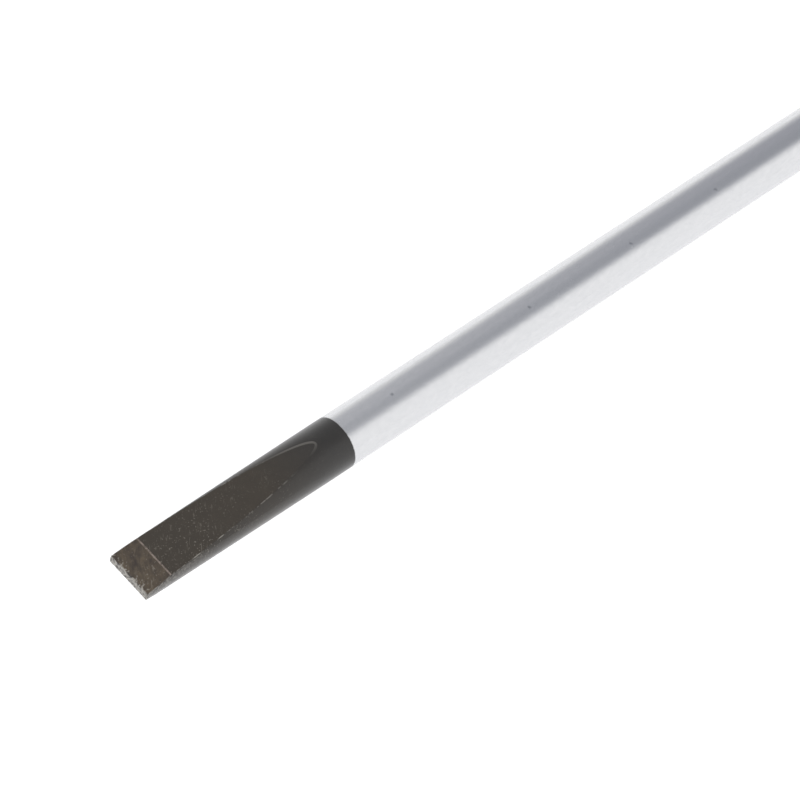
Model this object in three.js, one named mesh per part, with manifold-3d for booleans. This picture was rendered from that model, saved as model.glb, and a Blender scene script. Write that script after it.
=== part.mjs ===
// Slotted screwdriver for electronics work, lying level on its handle, in millimetres with +Z up.
// A round blade is moulded into a hexagonal plastic spine. Collar, grips and marker ring are keyed on
// the spine, and a swivel cap turns freely on a headed pin at the back of the handle.
// The origin is the middle of the blade's working end, and +X runs along the blade to the handle.

import * as THREE from "three";
import { mergeVertices } from "three/addons/utils/BufferGeometryUtils.js";
import Module from "manifold-3d";

// Blade
const SHAFT_DIAMETER = 3.5;
const BLADE_REACH = 80;
const TIP_THICKNESS = 0.6;
const TIP_TAPER = 0.09;
const WEDGE_LENGTH = 1.85;
const WEDGE_THICKNESS = 1.25;
const FACET_LENGTH = 14.4;

// Tang, the hidden end of the blade
const WING_COUNT = 2;
const WING_HEIGHT = 0.85;
const WING_THICKNESS = 1.4;
const WING_LENGTH = 5;
const WING_RAMP = 1;
const WING_SPACING = 4;
const WING_SETBACK = 16;
const TANG_TAIL = 8;
const TANG_CHAMFER = 0.5;

// Handle core
const SPINE_WALL = 1.1;
const NOSE_LENGTH = 5;
const NOSE_WALL = 1.45;
const NOSE_SHOULDER = 0.5;
const NOSE_EDGE = 0.6;
const HUB_LENGTH = 5;
const HUB_WALL = 0.9;
const HUB_FLARE = 1;
const HUB_EDGE = 0.5;

// Anti-roll collar
const COLLAR_FRONT_CHAMFER = 2.6;
const COLLAR_LAND = 3.6;
const COLLAR_REAR_CHAMFER = 1.1;
const COLLAR_CORNER_RISE = 0.8;
const COLLAR_FACE_STEP = 0.5;

// Front grip
const GRIP_FRONT_TO_WAIST = 13;
const GRIP_WAIST_TO_SWELL = 12.5;
const GRIP_SWELL_TO_REAR = 9.5;
const GRIP_WALL = 1;
const GRIP_FRONT_RISE = 1.7;
const GRIP_SWELL_RISE = 1.8;
const GRIP_REAR_RISE = 0.4;
const GRIP_FLAT_RISE = 1;
const GRIP_CORNER_RADIUS = 3.2;
const GRIP_EDGE = 0.5;

// Marker ring
const RING_LENGTH = 3;
const RING_WALL = 1.35;
const RING_EDGE = 0.4;

// Spinner grip
const SPINNER_LENGTH = 28;
const SPINNER_WALL = 1;
const SPINNER_EDGE = 0.5;
const GROOVE_MARGIN = 2.6;
const GROOVE_SPACING = 1.4;
const GROOVE_WIDTH = 1.2;
const GROOVE_DEPTH = 0.45;

// Pin, washers and bush
const JOURNAL_DIAMETER = 3;
const PIN_DEPTH = 14;
const PIN_CHAMFER = 0.4;
const PIN_HEAD_THICKNESS = 1.2;
const PIN_HEAD_STEP = 0.3;
const THRUST_WASHER_WIDTH = 2.9;
const THRUST_WASHER_THICKNESS = 0.8;
const HEAD_WASHER_STEP = 0.5;
const HEAD_WASHER_THICKNESS = 0.5;
const BUSH_WALL = 0.9;
const BUSH_BARREL_LENGTH = 6;
const BUSH_FLANGE_WIDTH = 1.3;
const BUSH_FLANGE_THICKNESS = 0.8;

// Swivel cap and finger pad
const CAP_RIM = 2.2;
const CAP_END_RADIUS = 2;
const CAP_FLARE_LENGTH = 2;
const CAP_FRONT_STEP = 0.1;
const HEAD_ROOM = 1.8;
const SCALLOP_COUNT = 12;
const SCALLOP_RADIUS = 1.5;
const SCALLOP_DEPTH = 0.45;
const SCALLOP_LENGTH = 6;
const PAD_LEDGE = 1.26;
const PAD_THICKNESS = 2.4;
const PAD_DISH = 0.9;
const PAD_RIM = 0.7;

// Fits: moulded and pressed pieces sit close on their seats, and turning pieces have running room
const SEAT_GAP = 0.12;
const RUNNING_GAP = 0.1;

// Smoothness, and how far a cut runs past what it cuts
const TURNED_SEGMENTS = 48;
const SCALLOP_SEGMENTS = 20;
const CORNER_SEGMENTS = 6;
const WAIST_SEGMENTS = 12;
const DISH_SEGMENTS = 6;
const CUT_MARGIN = 1;
const MERGE_DISTANCE = 1e-4;

// Sizes that follow from the fits, outwards from the shaft
const WING_SPAN = SHAFT_DIAMETER + 2 * WING_HEIGHT;
const WING_PITCH = WING_LENGTH + WING_SPACING;
const TANG_LENGTH = WING_SETBACK + WING_COUNT * WING_PITCH - WING_SPACING + TANG_TAIL;
const SPINE_ACROSS_FLATS = WING_SPAN + 2 * SPINE_WALL;
const SPINE_CORNERS = SPINE_ACROSS_FLATS / Math.cos(Math.PI / 6);
const SLEEVE_BORE = SPINE_CORNERS + 2 * SEAT_GAP;
const NOSE_FRONT_DIAMETER = SHAFT_DIAMETER + 2 * NOSE_WALL;
const NOSE_REAR_DIAMETER = SPINE_CORNERS + 2 * NOSE_SHOULDER;
const HUB_FRONT_DIAMETER = SPINE_CORNERS + 2 * HUB_WALL;
const HUB_REAR_DIAMETER = HUB_FRONT_DIAMETER + 2 * HUB_FLARE;
const GRIP_WAIST_DIAMETER = SLEEVE_BORE + 2 * GRIP_WALL;
const RING_DIAMETER = SLEEVE_BORE + 2 * RING_WALL;
const SPINNER_DIAMETER = SLEEVE_BORE + 2 * SPINNER_WALL;

// And outwards from the pin to the rim of the cap
const JOURNAL_BORE = JOURNAL_DIAMETER + 2 * RUNNING_GAP;
const THRUST_WASHER_DIAMETER = JOURNAL_BORE + 2 * THRUST_WASHER_WIDTH;
const BUSH_DIAMETER = JOURNAL_BORE + 2 * BUSH_WALL;
const BUSH_FLANGE_DIAMETER = BUSH_DIAMETER + 2 * BUSH_FLANGE_WIDTH;
const HEAD_WASHER_DIAMETER = BUSH_FLANGE_DIAMETER - 2 * HEAD_WASHER_STEP;
const PIN_HEAD_DIAMETER = HEAD_WASHER_DIAMETER - 2 * PIN_HEAD_STEP;
const CAP_POCKET_DIAMETER = BUSH_FLANGE_DIAMETER + 2 * SEAT_GAP;
const PAD_DIAMETER = CAP_POCKET_DIAMETER + 2 * PAD_LEDGE;
const CAP_RECESS_DIAMETER = PAD_DIAMETER + 2 * SEAT_GAP;
const CAP_DIAMETER = CAP_RECESS_DIAMETER + 2 * CAP_RIM;
const CAP_FRONT_DIAMETER = HUB_REAR_DIAMETER + 2 * CAP_FRONT_STEP;

// The collar is as tall across its flats as the cap is round, so the tool lies level on both.
const COLLAR_ACROSS_FLATS = CAP_DIAMETER;

// Where each piece starts and ends along the handle
const NOSE_END = BLADE_REACH + NOSE_LENGTH;
const COLLAR_START = NOSE_END + SEAT_GAP;
const COLLAR_LAND_START = COLLAR_START + COLLAR_FRONT_CHAMFER;
const COLLAR_LAND_END = COLLAR_LAND_START + COLLAR_LAND;
const COLLAR_END = COLLAR_LAND_END + COLLAR_REAR_CHAMFER;
const GRIP_START = COLLAR_END + SEAT_GAP;
const GRIP_WAIST = GRIP_START + GRIP_FRONT_TO_WAIST;
const GRIP_SWELL = GRIP_WAIST + GRIP_WAIST_TO_SWELL;
const GRIP_END = GRIP_SWELL + GRIP_SWELL_TO_REAR;
const RING_START = GRIP_END + SEAT_GAP;
const RING_END = RING_START + RING_LENGTH;
const SPINNER_START = RING_END + SEAT_GAP;
const SPINNER_END = SPINNER_START + SPINNER_LENGTH;
const HUB_START = SPINNER_END + SEAT_GAP;
const HUB_END = HUB_START + HUB_LENGTH;
const THRUST_WASHER_START = HUB_END + RUNNING_GAP;
const THRUST_WASHER_END = THRUST_WASHER_START + THRUST_WASHER_THICKNESS;
const CAP_START = THRUST_WASHER_END + RUNNING_GAP;
const BUSH_FLANGE_START = CAP_START + BUSH_BARREL_LENGTH;
const BUSH_FLANGE_END = BUSH_FLANGE_START + BUSH_FLANGE_THICKNESS;
const HEAD_WASHER_START = BUSH_FLANGE_END + RUNNING_GAP;
const HEAD_WASHER_END = HEAD_WASHER_START + HEAD_WASHER_THICKNESS;
const PIN_HEAD_START = HEAD_WASHER_END + RUNNING_GAP;
const PIN_HEAD_END = PIN_HEAD_START + PIN_HEAD_THICKNESS;
const PAD_START = PIN_HEAD_END + HEAD_ROOM;
const CAP_END = PAD_START + PAD_THICKNESS;

// Finishes
const CHROMED_STEEL = { color: 0xb9bcc2, roughness: 0.35, metalness: 1 };
const PLAIN_STEEL = { color: 0xa8abb0, roughness: 0.3, metalness: 1 };
const BRONZE = { color: 0xa47a45, roughness: 0.45, metalness: 1 };
const ACETAL = { color: 0xe6e4dc, roughness: 0.5, metalness: 0 };
const HARD_GREY = { color: 0x34373b, roughness: 0.45, metalness: 0 };
const HARD_BLUE = { color: 0x24567f, roughness: 0.4, metalness: 0 };
const SOFT_BLACK = { color: 0x1d1e20, roughness: 0.8, metalness: 0 };

const wasm = await Module();
wasm.setup();

// Lathe axes to part axes, for a profile turned about X
const TURNED_ABOUT_X = new THREE.Matrix4().makeBasis(
  new THREE.Vector3(0, 0, 1),
  new THREE.Vector3(1, 0, 0),
  new THREE.Vector3(0, 1, 0),
);
// Outline axes to part axes, for an outline in Y and Z carried along X
const CARRIED_ALONG_X = new THREE.Matrix4().makeBasis(
  new THREE.Vector3(0, 1, 0),
  new THREE.Vector3(0, 0, 1),
  new THREE.Vector3(1, 0, 0),
);
// Outline axes to part axes, for a side view in X and Z carried across Y
const CARRIED_ACROSS_Y = new THREE.Matrix4().makeBasis(
  new THREE.Vector3(1, 0, 0),
  new THREE.Vector3(0, 0, 1),
  new THREE.Vector3(0, -1, 0),
);

// Geometry to solid, with shared corners merged and collapsed triangles dropped
function solid(geometry) {
  const loose = geometry.index ? geometry.toNonIndexed() : geometry;
  const bare = new THREE.BufferGeometry();
  bare.setAttribute("position", loose.getAttribute("position"));
  const merged = mergeVertices(bare, MERGE_DISTANCE);
  const corners = [];
  for (let i = 0; i < merged.index.count; i += 3) {
    const [a, b, c] = [0, 1, 2].map((k) => merged.index.getX(i + k));
    if (a !== b && b !== c && c !== a) corners.push(a, b, c);
  }
  return new wasm.Manifold(
    new wasm.Mesh({
      numProp: 3,
      vertProperties: new Float32Array(merged.getAttribute("position").array),
      triVerts: new Uint32Array(corners),
    }),
  );
}

// A solid as a named piece of the tool, in its own finish
function piece(name, body, finish) {
  const { vertProperties, triVerts } = body.getMesh();
  const geometry = new THREE.BufferGeometry();
  geometry.setAttribute("position", new THREE.BufferAttribute(vertProperties, 3));
  geometry.setIndex(new THREE.BufferAttribute(triVerts, 1));
  geometry.computeVertexNormals();
  const mesh = new THREE.Mesh(geometry, new THREE.MeshStandardMaterial(finish));
  mesh.name = name;
  return mesh;
}

// A profile of [x, radius] points turned about the tool's axis, with the outside running towards +X
function turned(profile) {
  const points = profile.map(([x, radius]) => new THREE.Vector2(radius, x));
  return solid(new THREE.LatheGeometry(points, TURNED_SEGMENTS).applyMatrix4(TURNED_ABOUT_X));
}

// A plain ring with square edges
function washer(outside, bore, from, to) {
  const outer = outside / 2;
  const inner = bore / 2;
  return turned([[from, inner], [from, outer], [to, outer], [to, inner], [from, inner]]);
}

// An outline in Y and Z carried along X
function prism(outline, from, to) {
  const options = { depth: to - from, bevelEnabled: false, curveSegments: CORNER_SEGMENTS };
  const geometry = new THREE.ExtrudeGeometry(outline, options).applyMatrix4(CARRIED_ALONG_X);
  return solid(geometry.translate(from, 0, 0));
}

// A hexagon with flats facing up and down, sharp or with rounded corners
function hexagon(acrossFlats, cornerRadius = 0) {
  const outline = new THREE.Shape();
  const sixth = Math.PI / 3;
  const reach = (acrossFlats / 2 - cornerRadius) / Math.cos(sixth / 2);
  for (let k = 0; k < 6; k++) {
    const angle = k * sixth;
    const [y, z] = [reach * Math.cos(angle), reach * Math.sin(angle)];
    if (cornerRadius > 0) {
      outline.absarc(y, z, cornerRadius, angle - sixth / 2, angle + sixth / 2, false);
    } else if (k === 0) {
      outline.moveTo(y, z);
    } else {
      outline.lineTo(y, z);
    }
  }
  outline.closePath();
  return outline;
}

// The hexagonal hole that keys a sleeve on the spine
function spineHole(from, to) {
  const acrossFlats = SPINE_ACROSS_FLATS + 2 * SEAT_GAP;
  return prism(hexagon(acrossFlats), from - CUT_MARGIN, to + CUT_MARGIN);
}

// Upper grinding cut: the end wedge, then the long facet that runs out on the round shaft
function facetCut() {
  const radius = SHAFT_DIAMETER / 2;
  const top = radius + CUT_MARGIN;
  const width = SHAFT_DIAMETER + 2 * CUT_MARGIN;
  const outline = new THREE.Shape([
    new THREE.Vector2(-CUT_MARGIN, TIP_THICKNESS / 2),
    new THREE.Vector2(0, TIP_THICKNESS / 2),
    new THREE.Vector2(WEDGE_LENGTH, WEDGE_THICKNESS / 2),
    new THREE.Vector2(FACET_LENGTH, radius),
    new THREE.Vector2(FACET_LENGTH, top),
    new THREE.Vector2(-CUT_MARGIN, top),
  ]);
  const geometry = new THREE.ExtrudeGeometry(outline, { depth: width, bevelEnabled: false });
  return solid(geometry.applyMatrix4(CARRIED_ACROSS_Y).translate(0, width / 2, 0));
}

// One pair of swaged wings, seen in plan as a bar with ramped ends
function wingPair(from, to, half, thickness) {
  const ramp = half - WING_RAMP;
  const outline = new THREE.Shape([
    new THREE.Vector2(from, -ramp),
    new THREE.Vector2(from + WING_RAMP, -half),
    new THREE.Vector2(to - WING_RAMP, -half),
    new THREE.Vector2(to, -ramp),
    new THREE.Vector2(to, ramp),
    new THREE.Vector2(to - WING_RAMP, half),
    new THREE.Vector2(from + WING_RAMP, half),
    new THREE.Vector2(from, ramp),
  ]);
  const geometry = new THREE.ExtrudeGeometry(outline, { depth: thickness, bevelEnabled: false });
  return solid(geometry.translate(0, 0, -thickness / 2));
}

// The tang with its wings, grown by a gap where it is the cavity that holds it
function tang(gap) {
  const radius = SHAFT_DIAMETER / 2 + gap;
  const start = BLADE_REACH - gap;
  const end = BLADE_REACH + TANG_LENGTH + gap;
  let body = turned([
    [start, 0],
    [start, radius],
    [end - TANG_CHAMFER, radius],
    [end, radius - TANG_CHAMFER],
    [end, 0],
  ]);
  for (let k = 0; k < WING_COUNT; k++) {
    const from = BLADE_REACH + WING_SETBACK + k * WING_PITCH;
    const to = from + WING_LENGTH;
    const wings = wingPair(from - gap, to + gap, WING_SPAN / 2 + gap, WING_THICKNESS + 2 * gap);
    body = body.add(wings);
  }
  return body;
}

// One bar of steel: ground tip, slightly tapered towards its end, round shaft and winged tang
function blade() {
  const radius = SHAFT_DIAMETER / 2;
  const joint = BLADE_REACH + WING_SETBACK / 2;
  const shaft = turned([
    [0, 0],
    [0, radius - TIP_TAPER],
    [FACET_LENGTH, radius],
    [joint, radius],
    [joint, 0],
  ]);
  const upper = facetCut();
  return shaft.subtract(upper).subtract(upper.mirror([0, 0, 1])).add(tang(0));
}

// The hard plastic heart of the handle: nose, hexagonal spine and the hub that holds the pin
function handleCore() {
  const noseEdge = Math.min(NOSE_EDGE, NOSE_WALL / 2);
  const nose = turned([
    [BLADE_REACH, 0],
    [BLADE_REACH, NOSE_FRONT_DIAMETER / 2 - noseEdge],
    [BLADE_REACH + noseEdge, NOSE_FRONT_DIAMETER / 2],
    [NOSE_END - noseEdge, NOSE_REAR_DIAMETER / 2],
    [NOSE_END, NOSE_REAR_DIAMETER / 2],
    [NOSE_END, 0],
  ]);
  const hub = turned([
    [HUB_START, 0],
    [HUB_START, HUB_FRONT_DIAMETER / 2],
    [HUB_END - HUB_EDGE, HUB_REAR_DIAMETER / 2],
    [HUB_END, HUB_REAR_DIAMETER / 2 - HUB_EDGE],
    [HUB_END, 0],
  ]);
  const holeRadius = JOURNAL_DIAMETER / 2 + SEAT_GAP;
  const holeFloor = HUB_END - PIN_DEPTH - SEAT_GAP;
  const pinHole = turned([
    [holeFloor, 0],
    [holeFloor, holeRadius],
    [HUB_END + CUT_MARGIN, holeRadius],
    [HUB_END + CUT_MARGIN, 0],
  ]);
  const spine = prism(
    hexagon(SPINE_ACROSS_FLATS),
    NOSE_END - NOSE_LENGTH / 2,
    HUB_START + HUB_LENGTH / 2,
  );
  return spine.add(nose).add(hub).subtract(tang(SEAT_GAP)).subtract(pinHole);
}

// Hexagonal collar that stops the tool rolling, coned at the front and chamfered at the back
function antiRollCollar() {
  const corner = COLLAR_ACROSS_FLATS / 2 + COLLAR_CORNER_RISE;
  const rounding = turned([
    [COLLAR_START, 0],
    [COLLAR_START, NOSE_REAR_DIAMETER / 2 + COLLAR_FACE_STEP],
    [COLLAR_LAND_START, corner],
    [COLLAR_LAND_END, corner],
    [COLLAR_END, GRIP_WAIST_DIAMETER / 2 + GRIP_FRONT_RISE],
    [COLLAR_END, 0],
  ]);
  return prism(hexagon(COLLAR_ACROSS_FLATS), COLLAR_START - CUT_MARGIN, COLLAR_END + CUT_MARGIN)
    .intersect(rounding)
    .subtract(spineHole(COLLAR_START, COLLAR_END));
}

// Soft grip: a waisted sleeve whose swells are flattened to a rounded hexagon
function frontGrip() {
  const waist = GRIP_WAIST_DIAMETER / 2;
  const curve = new THREE.SplineCurve([
    new THREE.Vector2(GRIP_START + GRIP_EDGE, waist + GRIP_FRONT_RISE),
    new THREE.Vector2(GRIP_WAIST, waist),
    new THREE.Vector2(GRIP_SWELL, waist + GRIP_SWELL_RISE),
    new THREE.Vector2(GRIP_END - GRIP_EDGE, waist + GRIP_REAR_RISE),
  ]);
  const sleeve = turned([
    [GRIP_START, 0],
    [GRIP_START, waist + GRIP_FRONT_RISE - GRIP_EDGE],
    ...curve.getPoints(WAIST_SEGMENTS).map(({ x, y }) => [x, y]),
    [GRIP_END, waist + GRIP_REAR_RISE - GRIP_EDGE],
    [GRIP_END, 0],
  ]);
  const outline = hexagon(GRIP_WAIST_DIAMETER + 2 * GRIP_FLAT_RISE, GRIP_CORNER_RADIUS);
  return prism(outline, GRIP_START - CUT_MARGIN, GRIP_END + CUT_MARGIN)
    .intersect(sleeve)
    .subtract(spineHole(GRIP_START, GRIP_END));
}

// Coloured band between the two grips
function markerRing() {
  const outer = RING_DIAMETER / 2;
  return turned([
    [RING_START, 0],
    [RING_START, outer - RING_EDGE],
    [RING_START + RING_EDGE, outer],
    [RING_END - RING_EDGE, outer],
    [RING_END, outer - RING_EDGE],
    [RING_END, 0],
  ]).subtract(spineHole(RING_START, RING_END));
}

// Slim soft sleeve with ring grooves, where the fingers spin the tool
function spinnerGrip() {
  const outer = SPINNER_DIAMETER / 2;
  const pitch = GROOVE_WIDTH + GROOVE_SPACING;
  const room = SPINNER_LENGTH - 2 * GROOVE_MARGIN + GROOVE_SPACING;
  const count = Math.floor(room / pitch);
  const middle = (SPINNER_START + SPINNER_END) / 2;
  const slope = GROOVE_DEPTH / 2;
  const grooves = [];
  for (let k = 0; k < count; k++) {
    const from = middle + (k - (count - 1) / 2) * pitch - GROOVE_WIDTH / 2;
    const to = from + GROOVE_WIDTH;
    grooves.push([from, outer]);
    grooves.push([from + slope, outer - GROOVE_DEPTH]);
    grooves.push([to - slope, outer - GROOVE_DEPTH]);
    grooves.push([to, outer]);
  }
  return turned([
    [SPINNER_START, 0],
    [SPINNER_START, outer - SPINNER_EDGE],
    [SPINNER_START + SPINNER_EDGE, outer],
    ...grooves,
    [SPINNER_END - SPINNER_EDGE, outer],
    [SPINNER_END, outer - SPINNER_EDGE],
    [SPINNER_END, 0],
  ]).subtract(spineHole(SPINNER_START, SPINNER_END));
}

// Headed steel pin, pressed into the hub, that the cap turns on
function pivotPin() {
  const journal = JOURNAL_DIAMETER / 2;
  const head = PIN_HEAD_DIAMETER / 2;
  const tail = HUB_END - PIN_DEPTH;
  return turned([
    [tail, 0],
    [tail, journal - PIN_CHAMFER],
    [tail + PIN_CHAMFER, journal],
    [PIN_HEAD_START, journal],
    [PIN_HEAD_START, head],
    [PIN_HEAD_END - PIN_CHAMFER, head],
    [PIN_HEAD_END, head - PIN_CHAMFER],
    [PIN_HEAD_END, 0],
  ]);
}

// Washer between the hub and the cap, which takes the push of the finger
function thrustWasher() {
  return washer(THRUST_WASHER_DIAMETER, JOURNAL_BORE, THRUST_WASHER_START, THRUST_WASHER_END);
}

// Washer under the pin's head, which keeps the cap from pulling off
function headWasher() {
  return washer(HEAD_WASHER_DIAMETER, JOURNAL_BORE, HEAD_WASHER_START, HEAD_WASHER_END);
}

// Flanged bronze bush pressed into the cap, flange to the back
function capBush() {
  const bore = JOURNAL_BORE / 2;
  const barrel = BUSH_DIAMETER / 2;
  const flange = BUSH_FLANGE_DIAMETER / 2;
  return turned([
    [CAP_START, bore],
    [CAP_START, barrel],
    [BUSH_FLANGE_START, barrel],
    [BUSH_FLANGE_START, flange],
    [BUSH_FLANGE_END, flange],
    [BUSH_FLANGE_END, bore],
    [CAP_START, bore],
  ]);
}

// Shallow finger scallops round the back of the cap
function capScallops() {
  const length = SCALLOP_LENGTH + CUT_MARGIN;
  const middle = CAP_END - SCALLOP_LENGTH + length / 2;
  const reach = CAP_DIAMETER / 2 + SCALLOP_RADIUS - SCALLOP_DEPTH;
  const scallops = [];
  for (let k = 0; k < SCALLOP_COUNT; k++) {
    const angle = ((k + 0.5) * 2 * Math.PI) / SCALLOP_COUNT;
    const round = new THREE.CylinderGeometry(SCALLOP_RADIUS, SCALLOP_RADIUS, length, SCALLOP_SEGMENTS);
    round.applyMatrix4(TURNED_ABOUT_X);
    round.translate(middle, reach * Math.cos(angle), reach * Math.sin(angle));
    scallops.push(solid(round));
  }
  return scallops.reduce((all, one) => all.add(one));
}

// Swivel cap: flared front, round end edge, and stepped inside for bush, pin head and pad
function swivelCap() {
  const outer = CAP_DIAMETER / 2;
  const barrel = BUSH_DIAMETER / 2 + SEAT_GAP;
  const pocket = CAP_POCKET_DIAMETER / 2;
  const recess = CAP_RECESS_DIAMETER / 2;
  const shoulder = BUSH_FLANGE_START - SEAT_GAP;
  const ledge = PAD_START - SEAT_GAP;
  const radius = Math.min(CAP_END_RADIUS, CAP_RIM - SEAT_GAP);
  const edge = new THREE.Path();
  edge.absarc(CAP_END - radius, outer - radius, radius, Math.PI / 2, 0, true);
  return turned([
    [CAP_START, barrel],
    [CAP_START, CAP_FRONT_DIAMETER / 2],
    [CAP_START + CAP_FLARE_LENGTH, outer],
    ...edge.getPoints(CORNER_SEGMENTS).map(({ x, y }) => [x, y]),
    [CAP_END, recess],
    [ledge, recess],
    [ledge, pocket],
    [shoulder, pocket],
    [shoulder, barrel],
    [CAP_START, barrel],
  ]).subtract(capScallops());
}

// Dished soft pad that closes the cap and takes the forefinger
function fingerPad() {
  const outer = PAD_DIAMETER / 2;
  const rim = outer - PAD_RIM;
  const dish = [];
  for (let k = 0; k <= DISH_SEGMENTS; k++) {
    const radius = rim * (1 - k / DISH_SEGMENTS);
    const depth = PAD_DISH * (1 - (radius / rim) ** 2);
    dish.push([CAP_END - depth, radius]);
  }
  return turned([[PAD_START, 0], [PAD_START, outer], [CAP_END, outer], ...dish]);
}

const handle = new THREE.Group();
handle.add(
  piece("blade", blade(), CHROMED_STEEL),
  piece("handle_core", handleCore(), HARD_GREY),
  piece("anti_roll_collar", antiRollCollar(), HARD_BLUE),
  piece("front_grip", frontGrip(), SOFT_BLACK),
  piece("marker_ring", markerRing(), HARD_BLUE),
  piece("spinner_grip", spinnerGrip(), SOFT_BLACK),
  piece("pivot_pin", pivotPin(), PLAIN_STEEL),
  piece("thrust_washer", thrustWasher(), ACETAL),
  piece("head_washer", headWasher(), PLAIN_STEEL),
);

const cap = new THREE.Group();
cap.add(
  piece("swivel_cap", swivelCap(), HARD_BLUE),
  piece("cap_bush", capBush(), BRONZE),
  piece("finger_pad", fingerPad(), SOFT_BLACK),
);

const screwdriver = new THREE.Group();
screwdriver.add(handle, cap);

export default screwdriver;
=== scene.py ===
"""Looks of a slotted screwdriver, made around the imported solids.

The blade, the moulded handle and the swivel cap are built here as finished meshes with procedural
materials. Sizes are millimetres, as on a drawing, and turn into metres when a mesh is made.
The blade lies along X with its working end at the origin, and Z is up.
"""

import logging
import math
import random
from collections.abc import Callable, Sequence
from dataclasses import dataclass, field
from enum import Enum
from functools import partial
from typing import Any

import bmesh
import bpy
from mathutils import Matrix, Vector


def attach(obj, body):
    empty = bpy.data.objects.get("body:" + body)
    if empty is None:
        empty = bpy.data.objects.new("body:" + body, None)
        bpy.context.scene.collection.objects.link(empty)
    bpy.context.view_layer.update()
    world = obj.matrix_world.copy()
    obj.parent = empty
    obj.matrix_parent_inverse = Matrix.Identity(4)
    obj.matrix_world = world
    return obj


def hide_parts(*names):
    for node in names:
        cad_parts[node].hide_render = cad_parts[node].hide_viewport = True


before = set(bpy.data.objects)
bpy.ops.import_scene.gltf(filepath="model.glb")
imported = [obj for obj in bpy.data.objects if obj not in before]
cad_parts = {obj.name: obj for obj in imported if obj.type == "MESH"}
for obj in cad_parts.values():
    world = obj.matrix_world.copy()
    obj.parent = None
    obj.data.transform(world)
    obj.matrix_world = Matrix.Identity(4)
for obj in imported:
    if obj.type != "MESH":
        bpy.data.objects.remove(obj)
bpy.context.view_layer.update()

LOG = logging.getLogger("screwdriver")
MM = 0.001
TINY = 1e-6
SIXTH = math.pi / 3

# Points round the tool
Loop = list[Vector]
# Points along the tool and out from its axis
Outline = list[tuple[float, float]]
# The same for one corner, with the radius of its rounding
Corner = tuple[float, float, float]
# Linear red, green, blue and alpha
Colour = tuple[float, float, float, float]
# A function that adds nodes to one tree
Put = Callable[..., bpy.types.Node]


class Ends(Enum):
    """How a lofted mesh is closed: over both ends, or round from the last loop to the first."""

    CAPPED = "capped"
    JOINED = "joined"


class Body(Enum):
    """The two bodies of the tool, by their names in the frame."""

    HANDLE = "handle"
    CAP = "cap"


class Mark(Enum):
    """What a mesh tells its material, by the names of the mesh's attributes."""

    GROUND = "ground"
    # Bare steel on the blade's edges, which along the ground edges is partly a painted glint
    WORN = "worn"
    RIDGE = "ridge"
    BEND = "bend"


# Nodes and colours


def linear(hex_colour: str) -> Colour:
    """Turns an sRGB colour into the linear values that shaders take.

    Args:
        hex_colour: six hexadecimal digits, red first.

    Returns:
        Linear red, green, blue and an alpha of one.
    """
    parts = [int(hex_colour[k : k + 2], 16) / 255 for k in (0, 2, 4)]
    light = [p / 12.92 if p <= 0.04045 else ((p + 0.055) / 1.055) ** 2.4 for p in parts]
    return (light[0], light[1], light[2], 1.0)


def add_node(
    tree: bpy.types.NodeTree, kind: str, inputs: dict[str | int, Any] | None = None, **settings: Any
) -> bpy.types.Node:
    """Adds one node to a tree, with its settings and what goes into it.

    Args:
        tree: the shader or geometry tree.
        kind: the node's type.
        inputs: for each input's name or number, a plain value, the output that feeds it, or a node
            whose first output feeds it.
        settings: the node's own properties.

    Returns:
        The new node.
    """
    node = tree.nodes.new(kind)
    for name, value in settings.items():
        setattr(node, name, value)
    for key, value in (inputs or {}).items():
        named = (s for s in node.inputs if s.enabled and s.name == key)
        socket = node.inputs[key] if isinstance(key, int) else next(named)
        if isinstance(value, bpy.types.Node):
            value = next(s for s in value.outputs if s.enabled)
        if isinstance(value, bpy.types.NodeSocket):
            tree.links.new(value, socket)
        else:
            socket.default_value = value
    return node


def start_material(name: str) -> tuple[bpy.types.Material, Put, bpy.types.Node]:
    """Starts a material whose patterns are measured in millimetres on the piece.

    Args:
        name: the material's name.

    Returns:
        The material, the function that adds nodes to it, and the place on the piece in millimetres.
    """
    material = bpy.data.materials.new(name)
    material.use_nodes = True
    put = partial(add_node, material.node_tree)
    place = put("ShaderNodeTexCoord").outputs["Object"]
    point = put("ShaderNodeVectorMath", {0: place, "Scale": 1 / MM}, operation="SCALE")
    return material, put, point


def finish_material(material: bpy.types.Material, inputs: dict[str, bpy.types.Node | float]) -> None:
    """Feeds a material's shader.

    Args:
        material: the material.
        inputs: for each of the shader's inputs, a plain value or the node that feeds it.
    """
    tree = material.node_tree
    shader = tree.nodes["Principled BSDF"]
    for label, value in inputs.items():
        if isinstance(value, bpy.types.Node):
            tree.links.new(next(s for s in value.outputs if s.enabled), shader.inputs[label])
        else:
            shader.inputs[label].default_value = value


# Meshes


def rounded(corners: Sequence[Corner], steps: int = 6) -> Outline:
    """Rounds the corners of an open outline.

    Args:
        corners: along the tool, out from its axis, and the radius at that corner.
        steps: how many straight pieces make one rounding.

    Returns:
        The points of the rounded outline.
    """
    points: Outline = [corners[0][:2]]
    for before, here, after in zip(corners, corners[1:], corners[2:]):
        middle = Vector(here[:2])
        back = (Vector(before[:2]) - middle).normalized()
        ahead = (Vector(after[:2]) - middle).normalized()
        half = back.angle(ahead) / 2
        radius = here[2]
        centre = middle + (back + ahead).normalized() * radius / math.sin(half)
        first = middle + back * radius / math.tan(half) - centre
        last = middle + ahead * radius / math.tan(half) - centre
        start = math.atan2(first.y, first.x)
        sweep = math.atan2(first.x * last.y - first.y * last.x, first.dot(last))
        for k in range(steps + 1):
            angle = start + sweep * k / steps
            points.append((centre.x + radius * math.cos(angle), centre.y + radius * math.sin(angle)))
    points.append(corners[-1][:2])
    return points


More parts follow.
